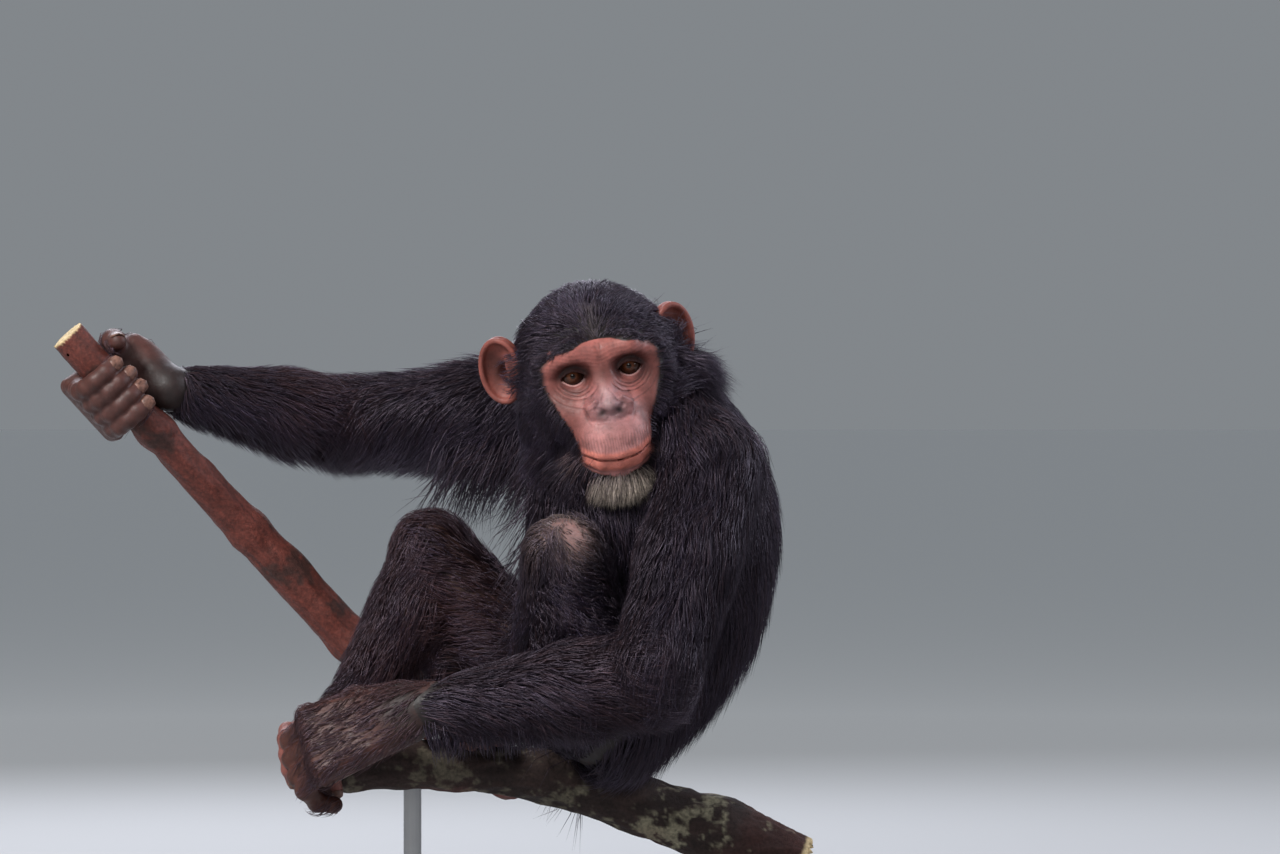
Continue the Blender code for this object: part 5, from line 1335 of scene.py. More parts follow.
class Tufts:
    """Roots, sizes and colours of the tufts of one piece, then their mesh."""

    def __init__(self, coat, seed):
        self.coat = coat
        self.chance = np.random.default_rng(seed)

    def roots(self, skin, parts, number, density):
        """Draw roots on the skin of some parts, by area and by density."""
        pool = np.flatnonzero(np.isin(skin["part"], [PART_NAMES.index(name) for name in parts]))
        weight = skin["area"][pool] * density(skin["middle"][pool], skin["normal"][pool])
        weight = np.maximum(weight, 0)
        chosen = self.chance.choice(pool, int(number * self.coat.number), p=weight / weight.sum())
        a, b = self.chance.uniform(0, 1, (2, len(chosen)))
        over = a + b > 1
        a[over] = 1 - a[over]
        b[over] = 1 - b[over]
        first, second, third = skin["corners"][chosen].transpose(1, 0, 2)
        return first + (second - first) * a[:, None] + (third - first) * b[:, None]

    def paths(self, roots, lie, lengths, depths, hang, free):
        """Comb a path from every root over the skin, or free of it by a share, and lift it."""
        count = len(roots)
        steps = RINGS - 1
        jitter = self.chance.normal(0, 0.12, (count, 3))
        drift = self.chance.normal(0, 0.10, (count, 3))
        level = self.chance.uniform(0.35, 1.0, count)
        ground = roots
        rows = [roots - way_out(combing_field, roots) * 0.0012]
        for step in range(1, steps + 1):
            share = step / steps
            out = way_out(combing_field, ground)
            wave = np.stack([NOISE(ground + shift, 0.026) for shift in WAVE_SHIFTS], 1) * 0.30
            ahead = rows_unit(lie(ground)) + jitter + wave + drift * share * 2
            across = (ahead * out).sum(1)
            across = np.where(across > 0, across * (1 - free), across)
            ahead = rows_unit(ahead - out * across[:, None])
            ground = ground + ahead * (lengths / steps)[:, None]
            out = way_out(combing_field, ground)
            gap = combing_field(ground)
            ground = ground - out * np.where(gap > 0, gap * (1 - free), gap)[:, None]
            height = depths * level * share ** 0.55 + 0.0006
            droop = hang * lengths * share ** 2 * np.clip(0.35 - out[:, 2], 0, 1)
            place = ground + out * height[:, None]
            place[:, 2] -= droop
            rows.append(place)
        return np.stack(rows, 1)

    def clumped(self, paths, share_of, size):
        """Draw the tips of neighbouring tufts together."""
        count = len(paths)
        seeds = self.chance.choice(count, max(1, count // size), replace=False)
        tree = KDTree(len(seeds))
        for index, seed in enumerate(seeds):
            tree.insert(paths[seed, 0], index)
        tree.balance()
        nearest = seeds[[tree.find(root)[1] for root in paths[:, 0]]]
        pull = (self.coat.clump * share_of ** 1.4)[None, :, None]
        pull = pull * self.chance.uniform(0.55, 1.15, (count, 1, 1))
        reach = paths[nearest] - paths
        far = np.linalg.norm(reach[:, 0], axis=1)[:, None, None]
        return paths + reach * pull * np.clip(1.6 - far / 0.014, 0, 1)

    def mesh(self, name, paths, widths, colours, chart):
        """Make three-sided tapered tufts along the paths, each with its patch of OFBake."""
        count = len(paths)
        share = np.linspace(0, 1, RINGS)
        ahead = np.gradient(paths, axis=1)
        ahead /= np.maximum(np.linalg.norm(ahead, axis=2), 1e-9)[..., None]
        out = way_out(combing_field, paths[:, 0])
        side = np.cross(ahead, out[:, None])
        side /= np.maximum(np.linalg.norm(side, axis=2), 1e-9)[..., None]
        up = np.cross(side, ahead)
        body = []
        for angle in (90, 210, 330):
            turn = math.radians(angle)
            across = side[:, :-1] * math.cos(turn) + up[:, :-1] * 0.7 * math.sin(turn)
            body.append(paths[:, :-1] + across * (widths[:, None] * TUFT_PROFILE)[..., None])
        body = np.stack(body, 2).reshape(count, -1, 3)
        points = np.concatenate([body, paths[:, -1:]], 1)
        per = points.shape[1]
        faces = []
        for ring in range(RINGS - 2):
            for k in range(3):
                a = ring * 3 + k
                b = ring * 3 + (k + 1) % 3
                faces += [(a, b, b + 3), (a, b + 3, a + 3)]
        for k in range(3):
            faces.append(((RINGS - 2) * 3 + k, (RINGS - 2) * 3 + (k + 1) % 3, per - 1))
        faces = (np.arange(count)[:, None, None] * per + np.array(faces)).reshape(-1, 3)
        mesh = mesh_of(name, points.reshape(-1, 3), faces)
        along = np.append(np.repeat(share[:-1], 3), 1.0)
        root, tip = colours
        tone = root[:, None] * (1 - along[None, :, None]) + tip[:, None] * along[None, :, None]
        paint(mesh, "tone", tone.reshape(-1, 3))
        turn = np.append(np.tile([0.0, -1.0, 1.0], RINGS - 1), 0.0)
        patch = np.stack([turn * 0.0015, (along - 0.5) * 0.003], 1)
        uv = np.clip(chart(paths[:, 0])[:, None] + patch[None], 0, 1).reshape(-1, 2)
        layer = mesh.uv_layers.new(name="OFBake")
        layer.data.foreach_set("uv", uv[faces.ravel()].astype(np.float32).ravel())
        return link(name, mesh)

    def colours(self, roots, brown, pale):
        """Root and tip colours of every tuft."""
        count = len(roots)
        shade = self.chance.uniform(0.70, 1.30, count)[:, None]
        tint = np.clip(brown + self.chance.normal(0, 0.10, count), 0, 1)[:, None]
        tone = (np.asarray(self.coat.dark) * (1 - tint) + np.asarray(self.coat.brown) * tint) * shade
        light = np.clip(pale, 0, 1)[:, None]
        white = np.asarray(self.coat.pale) * self.chance.uniform(0.45, 1.1, count)[:, None]
        root = tone * (1 - light * 0.8) * 0.8 + white * light * 0.35
        tip = tone * (1 - light) * 1.25 + white * light
        return root, tip


def bone_chart(a, b, spare):
    """Unwrap round the line from a to b: the turn about it, and the place along it."""
    along = unit(b - a)
    u = unit(np.cross(along, vec(0.3, 1.0, 0.2)))
    v = np.cross(along, u)
    span = np.linalg.norm(b - a) + 2 * spare

    def chart(p):
        q = p - a
        turn = np.arctan2(q @ v, q @ u) / (2 * math.pi) + 0.5
        return np.stack([0.004 + turn * 0.992, np.clip((q @ along + spare) / span, 0.004, 0.996)], 1)
    return chart


def ball_chart(p):
    """Unwrap of the head as a globe."""
    s = rows_unit(in_head(p))
    turn = np.arctan2(s[:, 0], -s[:, 1]) / (2 * math.pi) + 0.5
    return np.stack([0.004 + turn * 0.992, 0.004 + 0.992 * np.arccos(np.clip(s[:, 2], -1, 1)) / math.pi], 1)


def coat_look(name, rough):
    """Hair: the painted tone with a cool gloss along it."""
    n = Nodes(name, rough)
    streak = n.between(n.noise(0.003, 3), 0.3, 0.7, 0.7, 1.35)
    tone = n.scaled(n.painted("tone"), streak)
    return n.use(Base_Color=tone, Specular_IOR_Level=0.50, Specular_Tint=(0.90, 0.76, 1.0, 1.0),
                 Sheen_Weight=0.09, Sheen_Roughness=0.30, Sheen_Tint=(0.74, 0.60, 1.0, 1.0))


def skin_samples(ob):
    """Triangles of the skin with their areas, middles, normals and parts of the body."""
    mesh = ob.data
    mesh.calc_loop_triangles()
    corners = np.empty(len(mesh.loop_triangles) * 3, np.int32)
    mesh.loop_triangles.foreach_get("vertices", corners)
    points = points_of(mesh)[corners.reshape(-1, 3)]
    cross = np.cross(points[:, 1] - points[:, 0], points[:, 2] - points[:, 0])
    middle = points.mean(1)
    return {
        "corners": points,
        "area": np.linalg.norm(cross, axis=1) / 2,
        "middle": middle,
        "normal": rows_unit(cross),
        "part": np.argmin(part_fields(middle), axis=0),
    }


def half_head(p):
    """Points in the head's frame, mirrored onto its left half."""
    s = in_head(p)
    s[:, 0] = np.abs(s[:, 0])
    return s


def head_density(p, normal):
    """Tufts of the head: none on the bare face, finer towards it."""
    return 1 - bare_face(half_head(p))


def beard_share(p):
    """The band under and beside the mouth that carries white hair, from 0 to 1."""
    s = half_head(p)
    low = smooth(-s[:, 2], 0.0765, 0.0800) * smooth(0.108 + s[:, 2], 0, 0.014)
    low = low * smooth(s[:, 1], 0.045, 0.065) * smooth(0.030 - s[:, 0], 0, 0.012)
    side = ridge(np.hypot(s[:, 0] - 0.0355, (s[:, 2] + 0.066) * 0.8), 0.0065) * smooth(s[:, 1], 0.045, 0.060)
    return np.clip(low + side * 0.15, 0, 1)


def all_over(p, normal):
    """Even density, thinner where the coat is thin."""
    return np.maximum(1 - 0.5 * thin_places(p) - 0.85 * knee_patch(p), 0.05)


def hand_back(wrist, ahead, back, far):
    """Density on the back of a hand or foot, up to a distance from the wrist."""
    def density(p, normal):
        along = (p - wrist) @ unit(ahead)
        return smooth(normal @ unit(back), -0.25, 0.35) * smooth(far - along, 0, 0.020)
    return density


def coat_piece(name, skin, coat, seed, parts, number, lie, sizes, hang, chart, density=all_over,
               clump=18, brown=0.05, pale=None, free=0.0, look=None):
    """Grow one piece of the coat. sizes gives lengths, depths and widths at the roots."""
    tufts = Tufts(coat, coat.seed + seed)
    roots = tufts.roots(skin, parts, number, density)
    length, depth, width = sizes(roots)
    length = length * coat.length * tufts.chance.uniform(0.72, 1.15, len(roots))
    length = length * (1 - knee_hair(roots))
    depth = depth * (1 - 0.8 * knee_hair(roots))
    paths = tufts.paths(roots, lie, length, depth, hang, free)
    paths = tufts.clumped(paths, np.linspace(0, 1, RINGS), clump)
    widths = width * tufts.chance.uniform(0.75, 1.25, len(roots))
    browns = brown + 0.65 * thin_places(roots) + 0.9 * knee_patch(roots)
    pales = pale(roots) if pale else 0.30 * knee_patch(roots)
    ob = tufts.mesh(name, paths, widths, tufts.colours(roots, browns, pales), chart)
    return finish_piece(ob, look, "coat")


def even(length, depth, width):
    """The same sizes at every root."""
    return lambda p: (np.full(len(p), length), np.full(len(p), depth), width)


def grow_head(skin, coat, look):
    """Crown, cheeks, nape and beard."""
    def sizes(p):
        s = half_head(p)
        low = smooth(-s[:, 2], -0.010, 0.050)
        back = smooth(-s[:, 1], -0.010, 0.050)
        side = smooth(s[:, 0], 0.034, 0.052)
        near = 1 - np.maximum(bare_face(s + vec(-0.012, 0, 0)), bare_face(s + vec(0, 0, -0.012)))
        # Fuller on its left side below the crown, where it covers half of the ear
        left = side * (in_head(p)[:, 0] > 0) * smooth(0.022 - s[:, 2], 0, 0.015)
        length = (0.020 + 0.014 * low + 0.014 * back + 0.014 * side + 0.018 * left) * (0.40 + 0.60 * near)
        depth = COAT_CROWN + (COAT_CHEEK - COAT_CROWN) * np.maximum(low, back * 0.6)
        depth = (depth + 0.008 * side + 0.012 * left) * (0.45 + 0.55 * near) * (1 - 0.8 * beard_share(p))
        length = length * (1 - 0.5 * beard_share(p))
        return length, depth, coat.width * (0.60 + 0.25 * near)

    def crown(p, normal):
        return head_density(p, normal) * smooth(in_head(p)[:, 2], -0.006, 0.004) * (1 + 1.2 * (normal[:, 1] < 0.2))

    def cheeks(p, normal):
        own = head_density(p, normal) * (1 - 0.9 * beard_share(p))
        return own * smooth(-in_head(p)[:, 2], -0.006, 0.004)

    def parting(p):
        s = half_head(p)
        return 0.16 * ridge(s[:, 0], 0.0045) * smooth(s[:, 2], 0.030, 0.036) * smooth(s[:, 1], 0.020, 0.040)

    def round_ear(p, normal):
        s = in_head(p)
        return smooth(s[:, 0], 0.040, 0.050) * smooth(0.030 - np.abs(s[:, 1] + 0.014), 0, 0.012) * \
            smooth(0.028 - np.abs(s[:, 2] + 0.020), 0, 0.012)

    def wisp_lie(p):
        return np.tile(vec(0.85, 0.15, -0.60), (len(p), 1))

    coat_piece("coat_crown", skin, coat, 1, ["head"], 9500, head_lie, sizes, 0.05, ball_chart,
               density=crown, clump=14, pale=parting, look=look)
    coat_piece("coat_cheeks", skin, coat, 2, ["head"], 8000, head_lie, sizes, 0.25, ball_chart,
               density=cheeks, clump=14, free=0.3, look=look)
    coat_piece("coat_wisps", skin, coat, 4, ["head"], 2200, wisp_lie, even(0.058, 0.012, coat.width * 0.8), 0.25,
               ball_chart, density=round_ear, clump=12, free=1.0, look=look)
    coat_piece("coat_beard", skin, coat, 3, ["head"], 1100, beard_lie, even(0.021, 0.006, coat.width * 0.45), 0.20,
               ball_chart, density=lambda p, normal: beard_share(p), clump=5, brown=0.5, pale=beard_share,
               free=1.0, look=look)


def grow_trunk(skin, coat, look):
    """Back, flanks, chest and shoulders."""
    low = vec(-0.004, 0.030, 0.262)
    high = vec(0.006, 0.028, 0.570)
    chart = bone_chart(low, high, 0.10)
    front = facing(22)[1]

    def sizes(p):
        q = p - low
        behind = smooth(-(q @ front), -0.050, 0.040)
        top = smooth(p[:, 2], 0.500, 0.560)
        length = 0.044 + 0.026 * behind - 0.014 * top
        depth = COAT_FRONT + (COAT_BACK - COAT_FRONT) * behind
        depth = depth + (COAT_NECK - depth) * top
        return length, depth, coat.width

    def part(low_height, high_height, side):
        def density(p, normal):
            share = smooth(p[:, 2], low_height - 0.004, low_height + 0.004)
            share = share * smooth(high_height - p[:, 2], -0.004, 0.004)
            sat_on = smooth(p[:, 2], 0.198, 0.210)
            behind = (p - low) @ front < 0.015
            return share * sat_on * (behind if side == "back" else ~behind)
        return density

    for seed, name, number, region in (
        (10, "coat_back_low", 4500, part(0.0, 0.365, "back")),
        (11, "coat_back_middle", 7500, part(0.365, 0.465, "back")),
        (12, "coat_back_high", 8000, part(0.465, 1.0, "back")),
        (13, "coat_chest", 7500, part(0.0, 1.0, "front")),
    ):
        coat_piece(name, skin, coat, seed, ["trunk"], number, trunk_lie, sizes, 0.22, chart,
                   density=region, look=look)


def grow_arms(skin, coat, look):
    """Upper arms, forearms and the backs of the hands."""
    arms = (
        ("left", SHOULDER_L, ELBOW_L, WRIST_L, HAND_L_AHEAD, HAND_L_BACK),
        ("right", SHOULDER_R, ELBOW_R, WRIST_R, -GRIP_NEAR, GRIP_BEHIND),
    )
    for seed, (side, shoulder, elbow, wrist, ahead, back) in enumerate(arms, 20):
        bone = unit(elbow - shoulder)
        lower = unit(wrist - elbow)
        split = unit(bone + lower)

        def above(p, normal, elbow=elbow, split=split):
            return all_over(p, normal) * smooth(-((p - elbow) @ split), -0.004, 0.004)

        def below(p, normal, elbow=elbow, split=split):
            return all_over(p, normal) * smooth((p - elbow) @ split, -0.004, 0.004)

        def upper_sizes(p, shoulder=shoulder, elbow=elbow, side=side):
            along = (p - shoulder) @ unit(elbow - shoulder) / np.linalg.norm(elbow - shoulder)
            armpit = 1 - smooth(along, 0.10, 0.60) if side == "right" else 0.0
            under = smooth(shoulder[2] - p[:, 2], 0.0, 0.030)
            length = 0.054 - 0.010 * smooth(along, 0.5, 1.0) + 0.014 * armpit * under
            top = smooth(p[:, 2] - shoulder[2], 0.0, 0.030) * armpit
            return length, COAT_UPPER_ARM + 0.010 * armpit * under + 0.009 * top, coat.width

        def lower_sizes(p, elbow=elbow, wrist=wrist):
            along = (p - elbow) @ unit(wrist - elbow) / np.linalg.norm(wrist - elbow)
            under = smooth(elbow[2] - 0.005 - p[:, 2], 0.0, 0.020)
            length = 0.050 - 0.020 * smooth(along, 0.45, 1.0) + 0.014 * under
            return length, COAT_FOREARM * (1 - 0.45 * smooth(along, 0.5, 1)), coat.width * 0.95

        def beneath(p, normal, elbow=elbow, lower=lower):
            along = (p - elbow) @ lower
            return smooth(-normal[:, 2], 0.2, 0.6) * smooth(along, 0.040, 0.070)

        name = f"arm_{side}"
        lie = bone_lie(shoulder, elbow, 0.30 if side == "left" else 0.55)
        if side == "left":
            coat_piece("coat_fringe", skin, coat, 6, [name], 900, lambda p: np.tile(vec(0.35, 0.1, -1.0), (len(p), 1)),
                       even(0.028, 0.003, coat.width), 0.1, bone_chart(elbow, wrist, 0.06), density=beneath,
                       free=1.0, look=look)
        coat_piece(f"coat_upper_arm_{side}", skin, coat, seed * 10, [name], 7000, lie, upper_sizes, 0.30,
                   bone_chart(shoulder, elbow, 0.06), density=above, look=look)
        coat_piece(f"coat_forearm_{side}", skin, coat, seed * 10 + 1, [name], 6500,
                   whorl_lie(wrist, elbow, ahead, 0.30), lower_sizes, 0.30,
                   bone_chart(elbow, wrist, 0.06), density=below, brown=0.12, look=look)
        coat_piece(f"coat_hand_{side}", skin, coat, seed * 10 + 2, [f"hand_{side}"], 1100 if side == "left" else 700,
                   bone_lie(wrist, wrist + ahead, 0.45), even(0.022, 0.0040, coat.width * 0.75), 0.10,
                   bone_chart(wrist, wrist + ahead * 0.1, 0.05), brown=0.60, look=look,
                   density=hand_back(wrist, ahead, back, 0.112 if side == "left" else 0.040))


def grow_armpit(skin, coat, look):
    """Long loose hair that hangs from the right armpit."""
    def density(p, normal):
        along = (p - SHOULDER_R) @ unit(ELBOW_R - SHOULDER_R)
        return smooth(0.545 - p[:, 2], 0, 0.020) * smooth(-normal[:, 2], -0.2, 0.4) * \
            smooth(along, -0.030, 0.0) * smooth(0.130 - along, 0, 0.060)

    coat_piece("coat_armpit", skin, coat, 7, ["arm_right", "trunk"], 1300,
               lambda p: np.tile(vec(-0.50, -0.10, -1.0), (len(p), 1)), even(0.080, 0.004, coat.width), 0.15,
               bone_chart(SHOULDER_R, ELBOW_R, 0.06), density=density, clump=26, free=1.0, look=look)


def grow_legs(skin, coat, look):
    """Thighs, shins and the tops of the feet."""
    legs = (
        ("left", HIP_L, KNEE_L, ANKLE_L, FOOT_LEFT),
        ("right", HIP_R, KNEE_R, ANKLE_R, FOOT_RIGHT),
    )
    for seed, (side, hip, knee, ankle, foot) in enumerate(legs, 30):
        split = unit(unit(knee - hip) + unit(ankle - knee))

        def above(p, normal, knee=knee, split=split):
            return all_over(p, normal) * smooth(-((p - knee) @ split), -0.006, 0.006)

        def below(p, normal, knee=knee, split=split):
            return all_over(p, normal) * smooth((p - knee) @ split, -0.006, 0.006)

        def lower_sizes(p, knee=knee, ankle=ankle):
            along = (p - knee) @ unit(ankle - knee) / np.linalg.norm(ankle - knee)
            length = 0.040 - 0.018 * smooth(along, 0.5, 1.0)
            return length, COAT_SHIN * (1 - 0.5 * smooth(along, 0.55, 1)), coat.width * 0.9

        coat_piece(f"coat_thigh_{side}", skin, coat, seed * 10, [f"leg_{side}"], 4300,
                   bone_lie(hip, knee, 0.5), even(0.042, COAT_THIGH, coat.width * 0.95), 0.25,
                   bone_chart(hip, knee, 0.06), density=above, look=look)
        coat_piece(f"coat_shin_{side}", skin, coat, seed * 10 + 1, [f"leg_{side}"], 4500,
                   bone_lie(knee, ankle, 0.2), lower_sizes, 0.20,
                   bone_chart(knee, ankle, 0.06), density=below, brown=0.10, look=look)
        ahead = unit(foot.ball - ankle)
        coat_piece(f"coat_foot_{side}", skin, coat, seed * 10 + 2, [f"foot_{side}"], 700,
                   bone_lie(ankle, foot.ball, 0.3), even(0.015, 0.0035, coat.width * 0.6), 0.0,
                   bone_chart(ankle, foot.ball, 0.05), brown=0.4, look=look,
                   density=hand_back(ankle, ahead, (0, -0.2, 1.0), 0.045))


# Perch
def bark_height(p, relief):
    """Ridges and scales of bark."""
    along = p * vec(0.35, 1, 1)
    plates = 1 - np.abs(NOISE(along, 0.011))
    fine = NOISE(along, 0.0045)
    knots = np.clip(NOISE(p + 0.37, 0.040), 0, 1)
    return relief * (plates * 0.9 + fine * 0.35 - 1.0) + knots * relief * 0.9


def rough_branch(p, relief):
    """The branch with its bark, and splintered at the end that was broken."""
    d = branch_field(p) - bark_height(p, relief)
    out = unit(BRANCH[-1] - BRANCH[-2])
    splinter = 0.010 * (0.5 + 0.5 * NOISE(p * vec(1, 1, 1) - out * (p @ out)[:, None] * 0.9, 0.0040))
    d = np.maximum(d, (p - BRANCH[-1]) @ out + splinter)
    back = unit(BRANCH[0] - BRANCH[1])
    return np.maximum(d, (p - BRANCH[0]) @ back + 0.0004 + 0.0006 * NOISE(p, 0.003))


def peeled_limb(p, relief):
    """The smooth rising limb, with long grooves, cut off above the hand."""
    along = unit(LIMB[4] - LIMB[1])
    q = p - (p @ along)[:, None] * along * 0.88
    groove = relief * 0.55 * (NOISE(q, 0.0065) + 0.5 * NOISE(q + 0.2, 0.0030) - 0.6)
    knot = 0.0030 * np.clip(NOISE(p + 0.11, 0.030) - 0.25, 0, 1)
    d = limb_field(p) - groove - knot
    out = unit(LIMB[-1] - LIMB[-2])
    return np.maximum(d, (p - LIMB[-1]) @ out + 0.0004)


def make_perch_piece(name, field, low, high, step, colour):
    """Mesh one piece of the perch and paint it."""
    points, faces = surface_net(field, low, high, step)
    mesh = mesh_of(name, points, faces)
    paint(mesh, "tone", colour(points_of(mesh)))
    return link(name, mesh)


def bark_colours(p, perch):
    """Dark bark with painted shade in its grooves, pale crusts of lichen, and fresh wood where it broke."""
    # Painted shade in the bark's grooves, painted light on its ridges
    shade = 0.65 + 0.5 * smooth(bark_height(p, 1.0), -0.9, 0.4)
    tone = np.asarray(perch.bark) * shade[:, None]
    patch = smooth(NOISE(p + 0.5, 0.022) * 0.7 + 0.55 * NOISE(p, 0.007) + 0.35 * NOISE(p, 0.0025), 0.10, 0.55)
    patch = patch * (0.35 + 0.65 * smooth(p[:, 0], -0.10, 0.04))
    tone = blend_colour(tone, patch * 0.75, perch.lichen)
    brown = smooth(NOISE(p + 0.9, 0.035), 0.0, 0.6)
    tone = blend_colour(tone, brown * 0.35, perch.wood)
    out = unit(BRANCH[-1] - BRANCH[-2])
    end = smooth((p - BRANCH[-1]) @ out, -0.0125, -0.0095)
    return blend_colour(tone, end, perch.broken)


def limb_colours(p, perch):
    """Reddish wood with darker grain and scraps of bark."""
    along = unit(LIMB[4] - LIMB[1])
    q = p - (p @ along)[:, None] * along * 0.92
    grain = NOISE(q, 0.004) * 0.5 + NOISE(q, 0.0016) * 0.5
    tone = np.asarray(perch.wood) * (1 + 0.5 * grain)[:, None]
    scrap = smooth(NOISE(p + 0.7, 0.030) + 0.3 * NOISE(p, 0.006), 0.28, 0.5)
    tone = blend_colour(tone, scrap * 0.7, perch.bark)
    out = unit(LIMB[-1] - LIMB[-2])
    return blend_colour(tone, smooth((p - LIMB[-1]) @ out, -0.0018, -0.0008), perch.broken)


def wood_look(name, rough, fine):
    """Bark or bare wood: painted tone with fine relief."""
    n = Nodes(name, rough)
    speck = n.between(n.noise(fine * 2.5, 4), 0.3, 0.7, 0.60, 1.35)
    tone = n.scaled(n.painted("tone"), speck)
    coarse = n.bump(n.noise(fine * 4, 5, 0.65), 0.6, 0.0016)
    return n.use(Base_Color=tone, Specular_IOR_Level=0.30,
                 Normal=n.bump(n.noise(fine, 4, 0.7), 0.5, 0.0008, coarse))


def paint_look(colour):
    """Matt painted metal with a faint orange peel."""
    n = Nodes("stand_paint", 0.48)
    tone = n.scaled((*colour,), n.between(n.noise(0.05, 3), 0.3, 0.7, 0.94, 1.05))
    rough = n.between(n.noise(0.02, 3), 0.3, 0.7, 0.42, 0.55)
    return n.use(Base_Color=tone, Roughness=rough, Normal=n.bump(n.noise(0.0012, 2), 0.10, 0.0004))


# Operators
class CHIMPANZEE_OT_skin(bpy.types.Operator):
    """Mesh and colour the bare body as one skin"""

    bl_idname = "chimpanzee.skin"
    bl_label = "Skin"

    def execute(self, context):
        ob = make_skin(context.scene.chimpanzee_skin)
        finish_piece(ob, skin_look(), "face_skin", *FLESH_NODES)
        return {"FINISHED"}


class CHIMPANZEE_OT_eyes(bpy.types.Operator):
    """Make both eyeballs"""

    bl_idname = "chimpanzee.eyes"
    bl_label = "Eyes"

    def execute(self, context):
        look = eye_look()
        for side, word in ((1, "left"), (-1, "right")):
            ob = make_eye(f"eyeball_{word}", side, context.scene.chimpanzee_eyes)
            finish_piece(ob, look, "eye", f"eye_{word}")
        return {"FINISHED"}


class CHIMPANZEE_OT_nails(bpy.types.Operator):
    """Make the nails of fingers and toes"""

    bl_idname = "chimpanzee.nails"
    bl_label = "Nails"

    def execute(self, context):
        finish_piece(make_nails(), nail_look(), "hand_skin")
        return {"FINISHED"}


class CoatOperator:
    """Shared steps of the operators that grow the coat."""

    def execute(self, context):
        skin = bpy.data.objects.get("skin")
        if skin is None:
            raise RuntimeError("make the skin before the coat")
        coat = context.scene.chimpanzee_coat
        look = bpy.data.materials.get("long_hair") or coat_look("long_hair", 0.42)
        type(self).grow(skin_samples(skin), coat, look)
        return {"FINISHED"}


class CHIMPANZEE_OT_coat_head(CoatOperator, bpy.types.Operator):
    """Grow the hair of crown, cheeks and chin"""

    bl_idname = "chimpanzee.coat_head"
    bl_label = "Coat of the head"
    grow = staticmethod(grow_head)


class CHIMPANZEE_OT_coat_trunk(CoatOperator, bpy.types.Operator):
    """Grow the hair of back, flanks and chest"""

    bl_idname = "chimpanzee.coat_trunk"
    bl_label = "Coat of the trunk"
    grow = staticmethod(grow_trunk)


class CHIMPANZEE_OT_coat_arms(CoatOperator, bpy.types.Operator):
    """Grow the hair of the arms and hands"""

    bl_idname = "chimpanzee.coat_arms"
    bl_label = "Coat of the arms"

    @staticmethod
    def grow(skin, coat, look):
        grow_arms(skin, coat, look)
        grow_armpit(skin, coat, look)


class CHIMPANZEE_OT_coat_legs(CoatOperator, bpy.types.Operator):
    """Grow the hair of the legs and feet"""

    bl_idname = "chimpanzee.coat_legs"
    bl_label = "Coat of the legs"
    grow = staticmethod(grow_legs)


class CHIMPANZEE_OT_perch(bpy.types.Operator):
    """Make the branch and the limb that rises from it"""

    bl_idname = "chimpanzee.perch"
    bl_label = "Perch"

    def execute(self, context):
        perch = context.scene.chimpanzee_perch
        branch = make_perch_piece("branch", lambda p: rough_branch(p, perch.relief), (-0.34, -0.06, 0.05),
                                  (0.22, 0.10, 0.27), 0.0020, lambda p: bark_colours(p, perch))
        finish_piece(branch, wood_look("bark", 0.85, 0.0012), "bark", "perch_branch")
        limb = make_perch_piece("rising_limb", lambda p: peeled_limb(p, perch.relief), (-0.58, -0.02, 0.15),
                                (-0.06, 0.20, 0.66), 0.0022, lambda p: limb_colours(p, perch))
        finish_piece(limb, wood_look("bare_wood", 0.58, 0.0014), "bare_wood", "perch_limb")
        return {"FINISHED"}


class CHIMPANZEE_OT_stand(bpy.types.Operator):
    """Paint the base and the rods of the stand"""

    bl_idname = "chimpanzee.stand"
    bl_label = "Stand"

    def execute(self, context):
        look = paint_look(tuple(context.scene.chimpanzee_stand.paint))
        for name in ("stand_base", "stand_rod_1", "stand_rod_2"):
            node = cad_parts[name]
            node.data.materials.clear()
            node.data.materials.append(look)
        return {"FINISHED"}


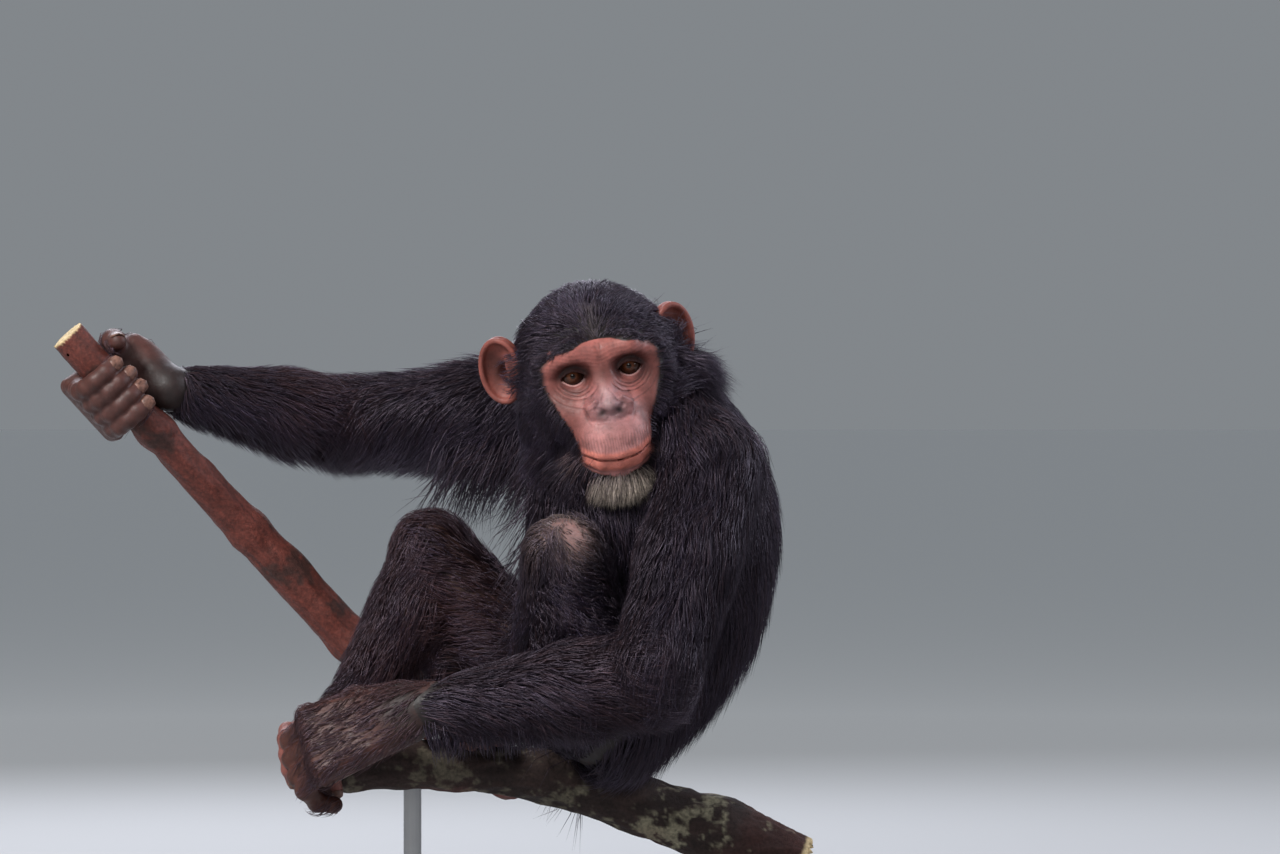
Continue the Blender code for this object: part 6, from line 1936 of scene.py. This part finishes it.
class CHIMPANZEE_OT_stage(bpy.types.Operator):
    """Lay the floor and set the lights and the camera"""

    bl_idname = "chimpanzee.stage"
    bl_label = "Stage"

    def execute(self, context):
        stage = context.scene.chimpanzee_stage
        bm = bmesh.new()
        bmesh.ops.create_circle(bm, cap_ends=True, segments=96, radius=FLOOR_RADIUS)
        mesh = bpy.data.meshes.new("floor")
        bm.to_mesh(mesh)
        bm.free()
        floor = link("floor", mesh)
        n = Nodes("floor", 0.7)
        far = n.add("ShaderNodeVectorMath", operation="LENGTH", Vector=n.place).outputs["Value"]
        n.use(Base_Color=n.mixed(n.between(far, 1.0, 5.0), stage.floor, (0.95, 0.96, 0.97)))
        mesh.materials.append(n.material)
        lights = (
            ("key", (-2.0, -2.0, 2.6), 1.0, stage.key, (1.0, 0.98, 0.96), True),
            ("fill", (-0.5, -3.4, 1.9), 1.0, stage.key * 0.15, (1.0, 0.98, 0.96), True),
            ("side", (2.2, 0.2, 1.8), 1.2, stage.key * 0.32, (0.88, 0.90, 1.0), True),
            ("rim", (-0.6, 2.2, 2.0), 1.6, stage.key * 0.28, (0.88, 0.90, 1.0), True),
        )
        aim = Vector((-0.08, 0.0, 0.42))
        for name, place, size, power, colour, glossy in lights:
            light = bpy.data.lights.new(name, "AREA")
            light.energy = power
            light.size = size
            light.color = colour
            lamp = link(name, light)
            lamp.location = place
            lamp.rotation_euler = (aim - lamp.location).to_track_quat("-Z", "Y").to_euler()
            lamp.visible_glossy = glossy
        world = bpy.data.worlds.new("sky")
        context.scene.world = world
        world.use_nodes = True
        world.node_tree.nodes["Background"].inputs["Color"].default_value = (0.80, 0.86, 0.92, 1)
        world.node_tree.nodes["Background"].inputs["Strength"].default_value = 0.28
        lens = bpy.data.cameras.new("camera")
        camera = link("camera", lens)
        lens.sensor_width = 36
        lens.clip_end = FLOOR_RADIUS * 2
        lens.lens = 36 * stage.distance / (1280 * METRES_A_PIXEL)
        camera.location = (0, -stage.distance, stage.height)
        camera.rotation_euler = (math.radians(90), 0, 0)
        context.scene.camera = camera
        context.scene.view_settings.view_transform = "Standard"
        return {"FINISHED"}


METRES_A_PIXEL = 0.0009
FLOOR_RADIUS = 900.0
OPERATORS = [
    CHIMPANZEE_OT_skin, CHIMPANZEE_OT_eyes, CHIMPANZEE_OT_nails, CHIMPANZEE_OT_coat_head,
    CHIMPANZEE_OT_coat_trunk, CHIMPANZEE_OT_coat_arms, CHIMPANZEE_OT_coat_legs,
    CHIMPANZEE_OT_perch, CHIMPANZEE_OT_stand, CHIMPANZEE_OT_stage,
]
SETTINGS = {
    "chimpanzee_skin": SkinSettings,
    "chimpanzee_coat": CoatSettings,
    "chimpanzee_eyes": EyeSettings,
    "chimpanzee_perch": PerchSettings,
    "chimpanzee_stand": StandSettings,
    "chimpanzee_stage": StageSettings,
}


class CHIMPANZEE_PT_sidebar(bpy.types.Panel):
    """Lists the settings and the steps that make the model"""

    bl_idname = "CHIMPANZEE_PT_sidebar"
    bl_label = "Chimpanzee"
    bl_space_type = "VIEW_3D"
    bl_region_type = "UI"
    bl_category = "Chimpanzee"

    def draw(self, context):
        for name, kind in SETTINGS.items():
            box = self.layout.box()
            box.label(text=name.replace("chimpanzee_", "").capitalize())
            for key in kind.__annotations__:
                box.prop(getattr(context.scene, name), key)
        for operator in OPERATORS:
            self.layout.operator(operator.bl_idname)


def register():
    """Register the settings, the operators and the panel."""
    for kind in [*SETTINGS.values(), *OPERATORS, CHIMPANZEE_PT_sidebar]:
        bpy.utils.register_class(kind)
    for name, kind in SETTINGS.items():
        setattr(bpy.types.Scene, name, PointerProperty(type=kind))


def unregister():
    """Take the settings, the operators and the panel out again."""
    for name in SETTINGS:
        delattr(bpy.types.Scene, name)
    for kind in [CHIMPANZEE_PT_sidebar, *OPERATORS[::-1], *list(SETTINGS.values())[::-1]]:
        bpy.utils.unregister_class(kind)


def main():
    """Dress the whole model."""
    register()
    bpy.ops.chimpanzee.stage()
    bpy.ops.chimpanzee.skin()
    bpy.ops.chimpanzee.eyes()
    bpy.ops.chimpanzee.nails()
    bpy.ops.chimpanzee.coat_head()
    bpy.ops.chimpanzee.coat_trunk()
    bpy.ops.chimpanzee.coat_arms()
    bpy.ops.chimpanzee.coat_legs()
    bpy.ops.chimpanzee.perch()
    bpy.ops.chimpanzee.stand()


if __name__ == "__main__":
    main()
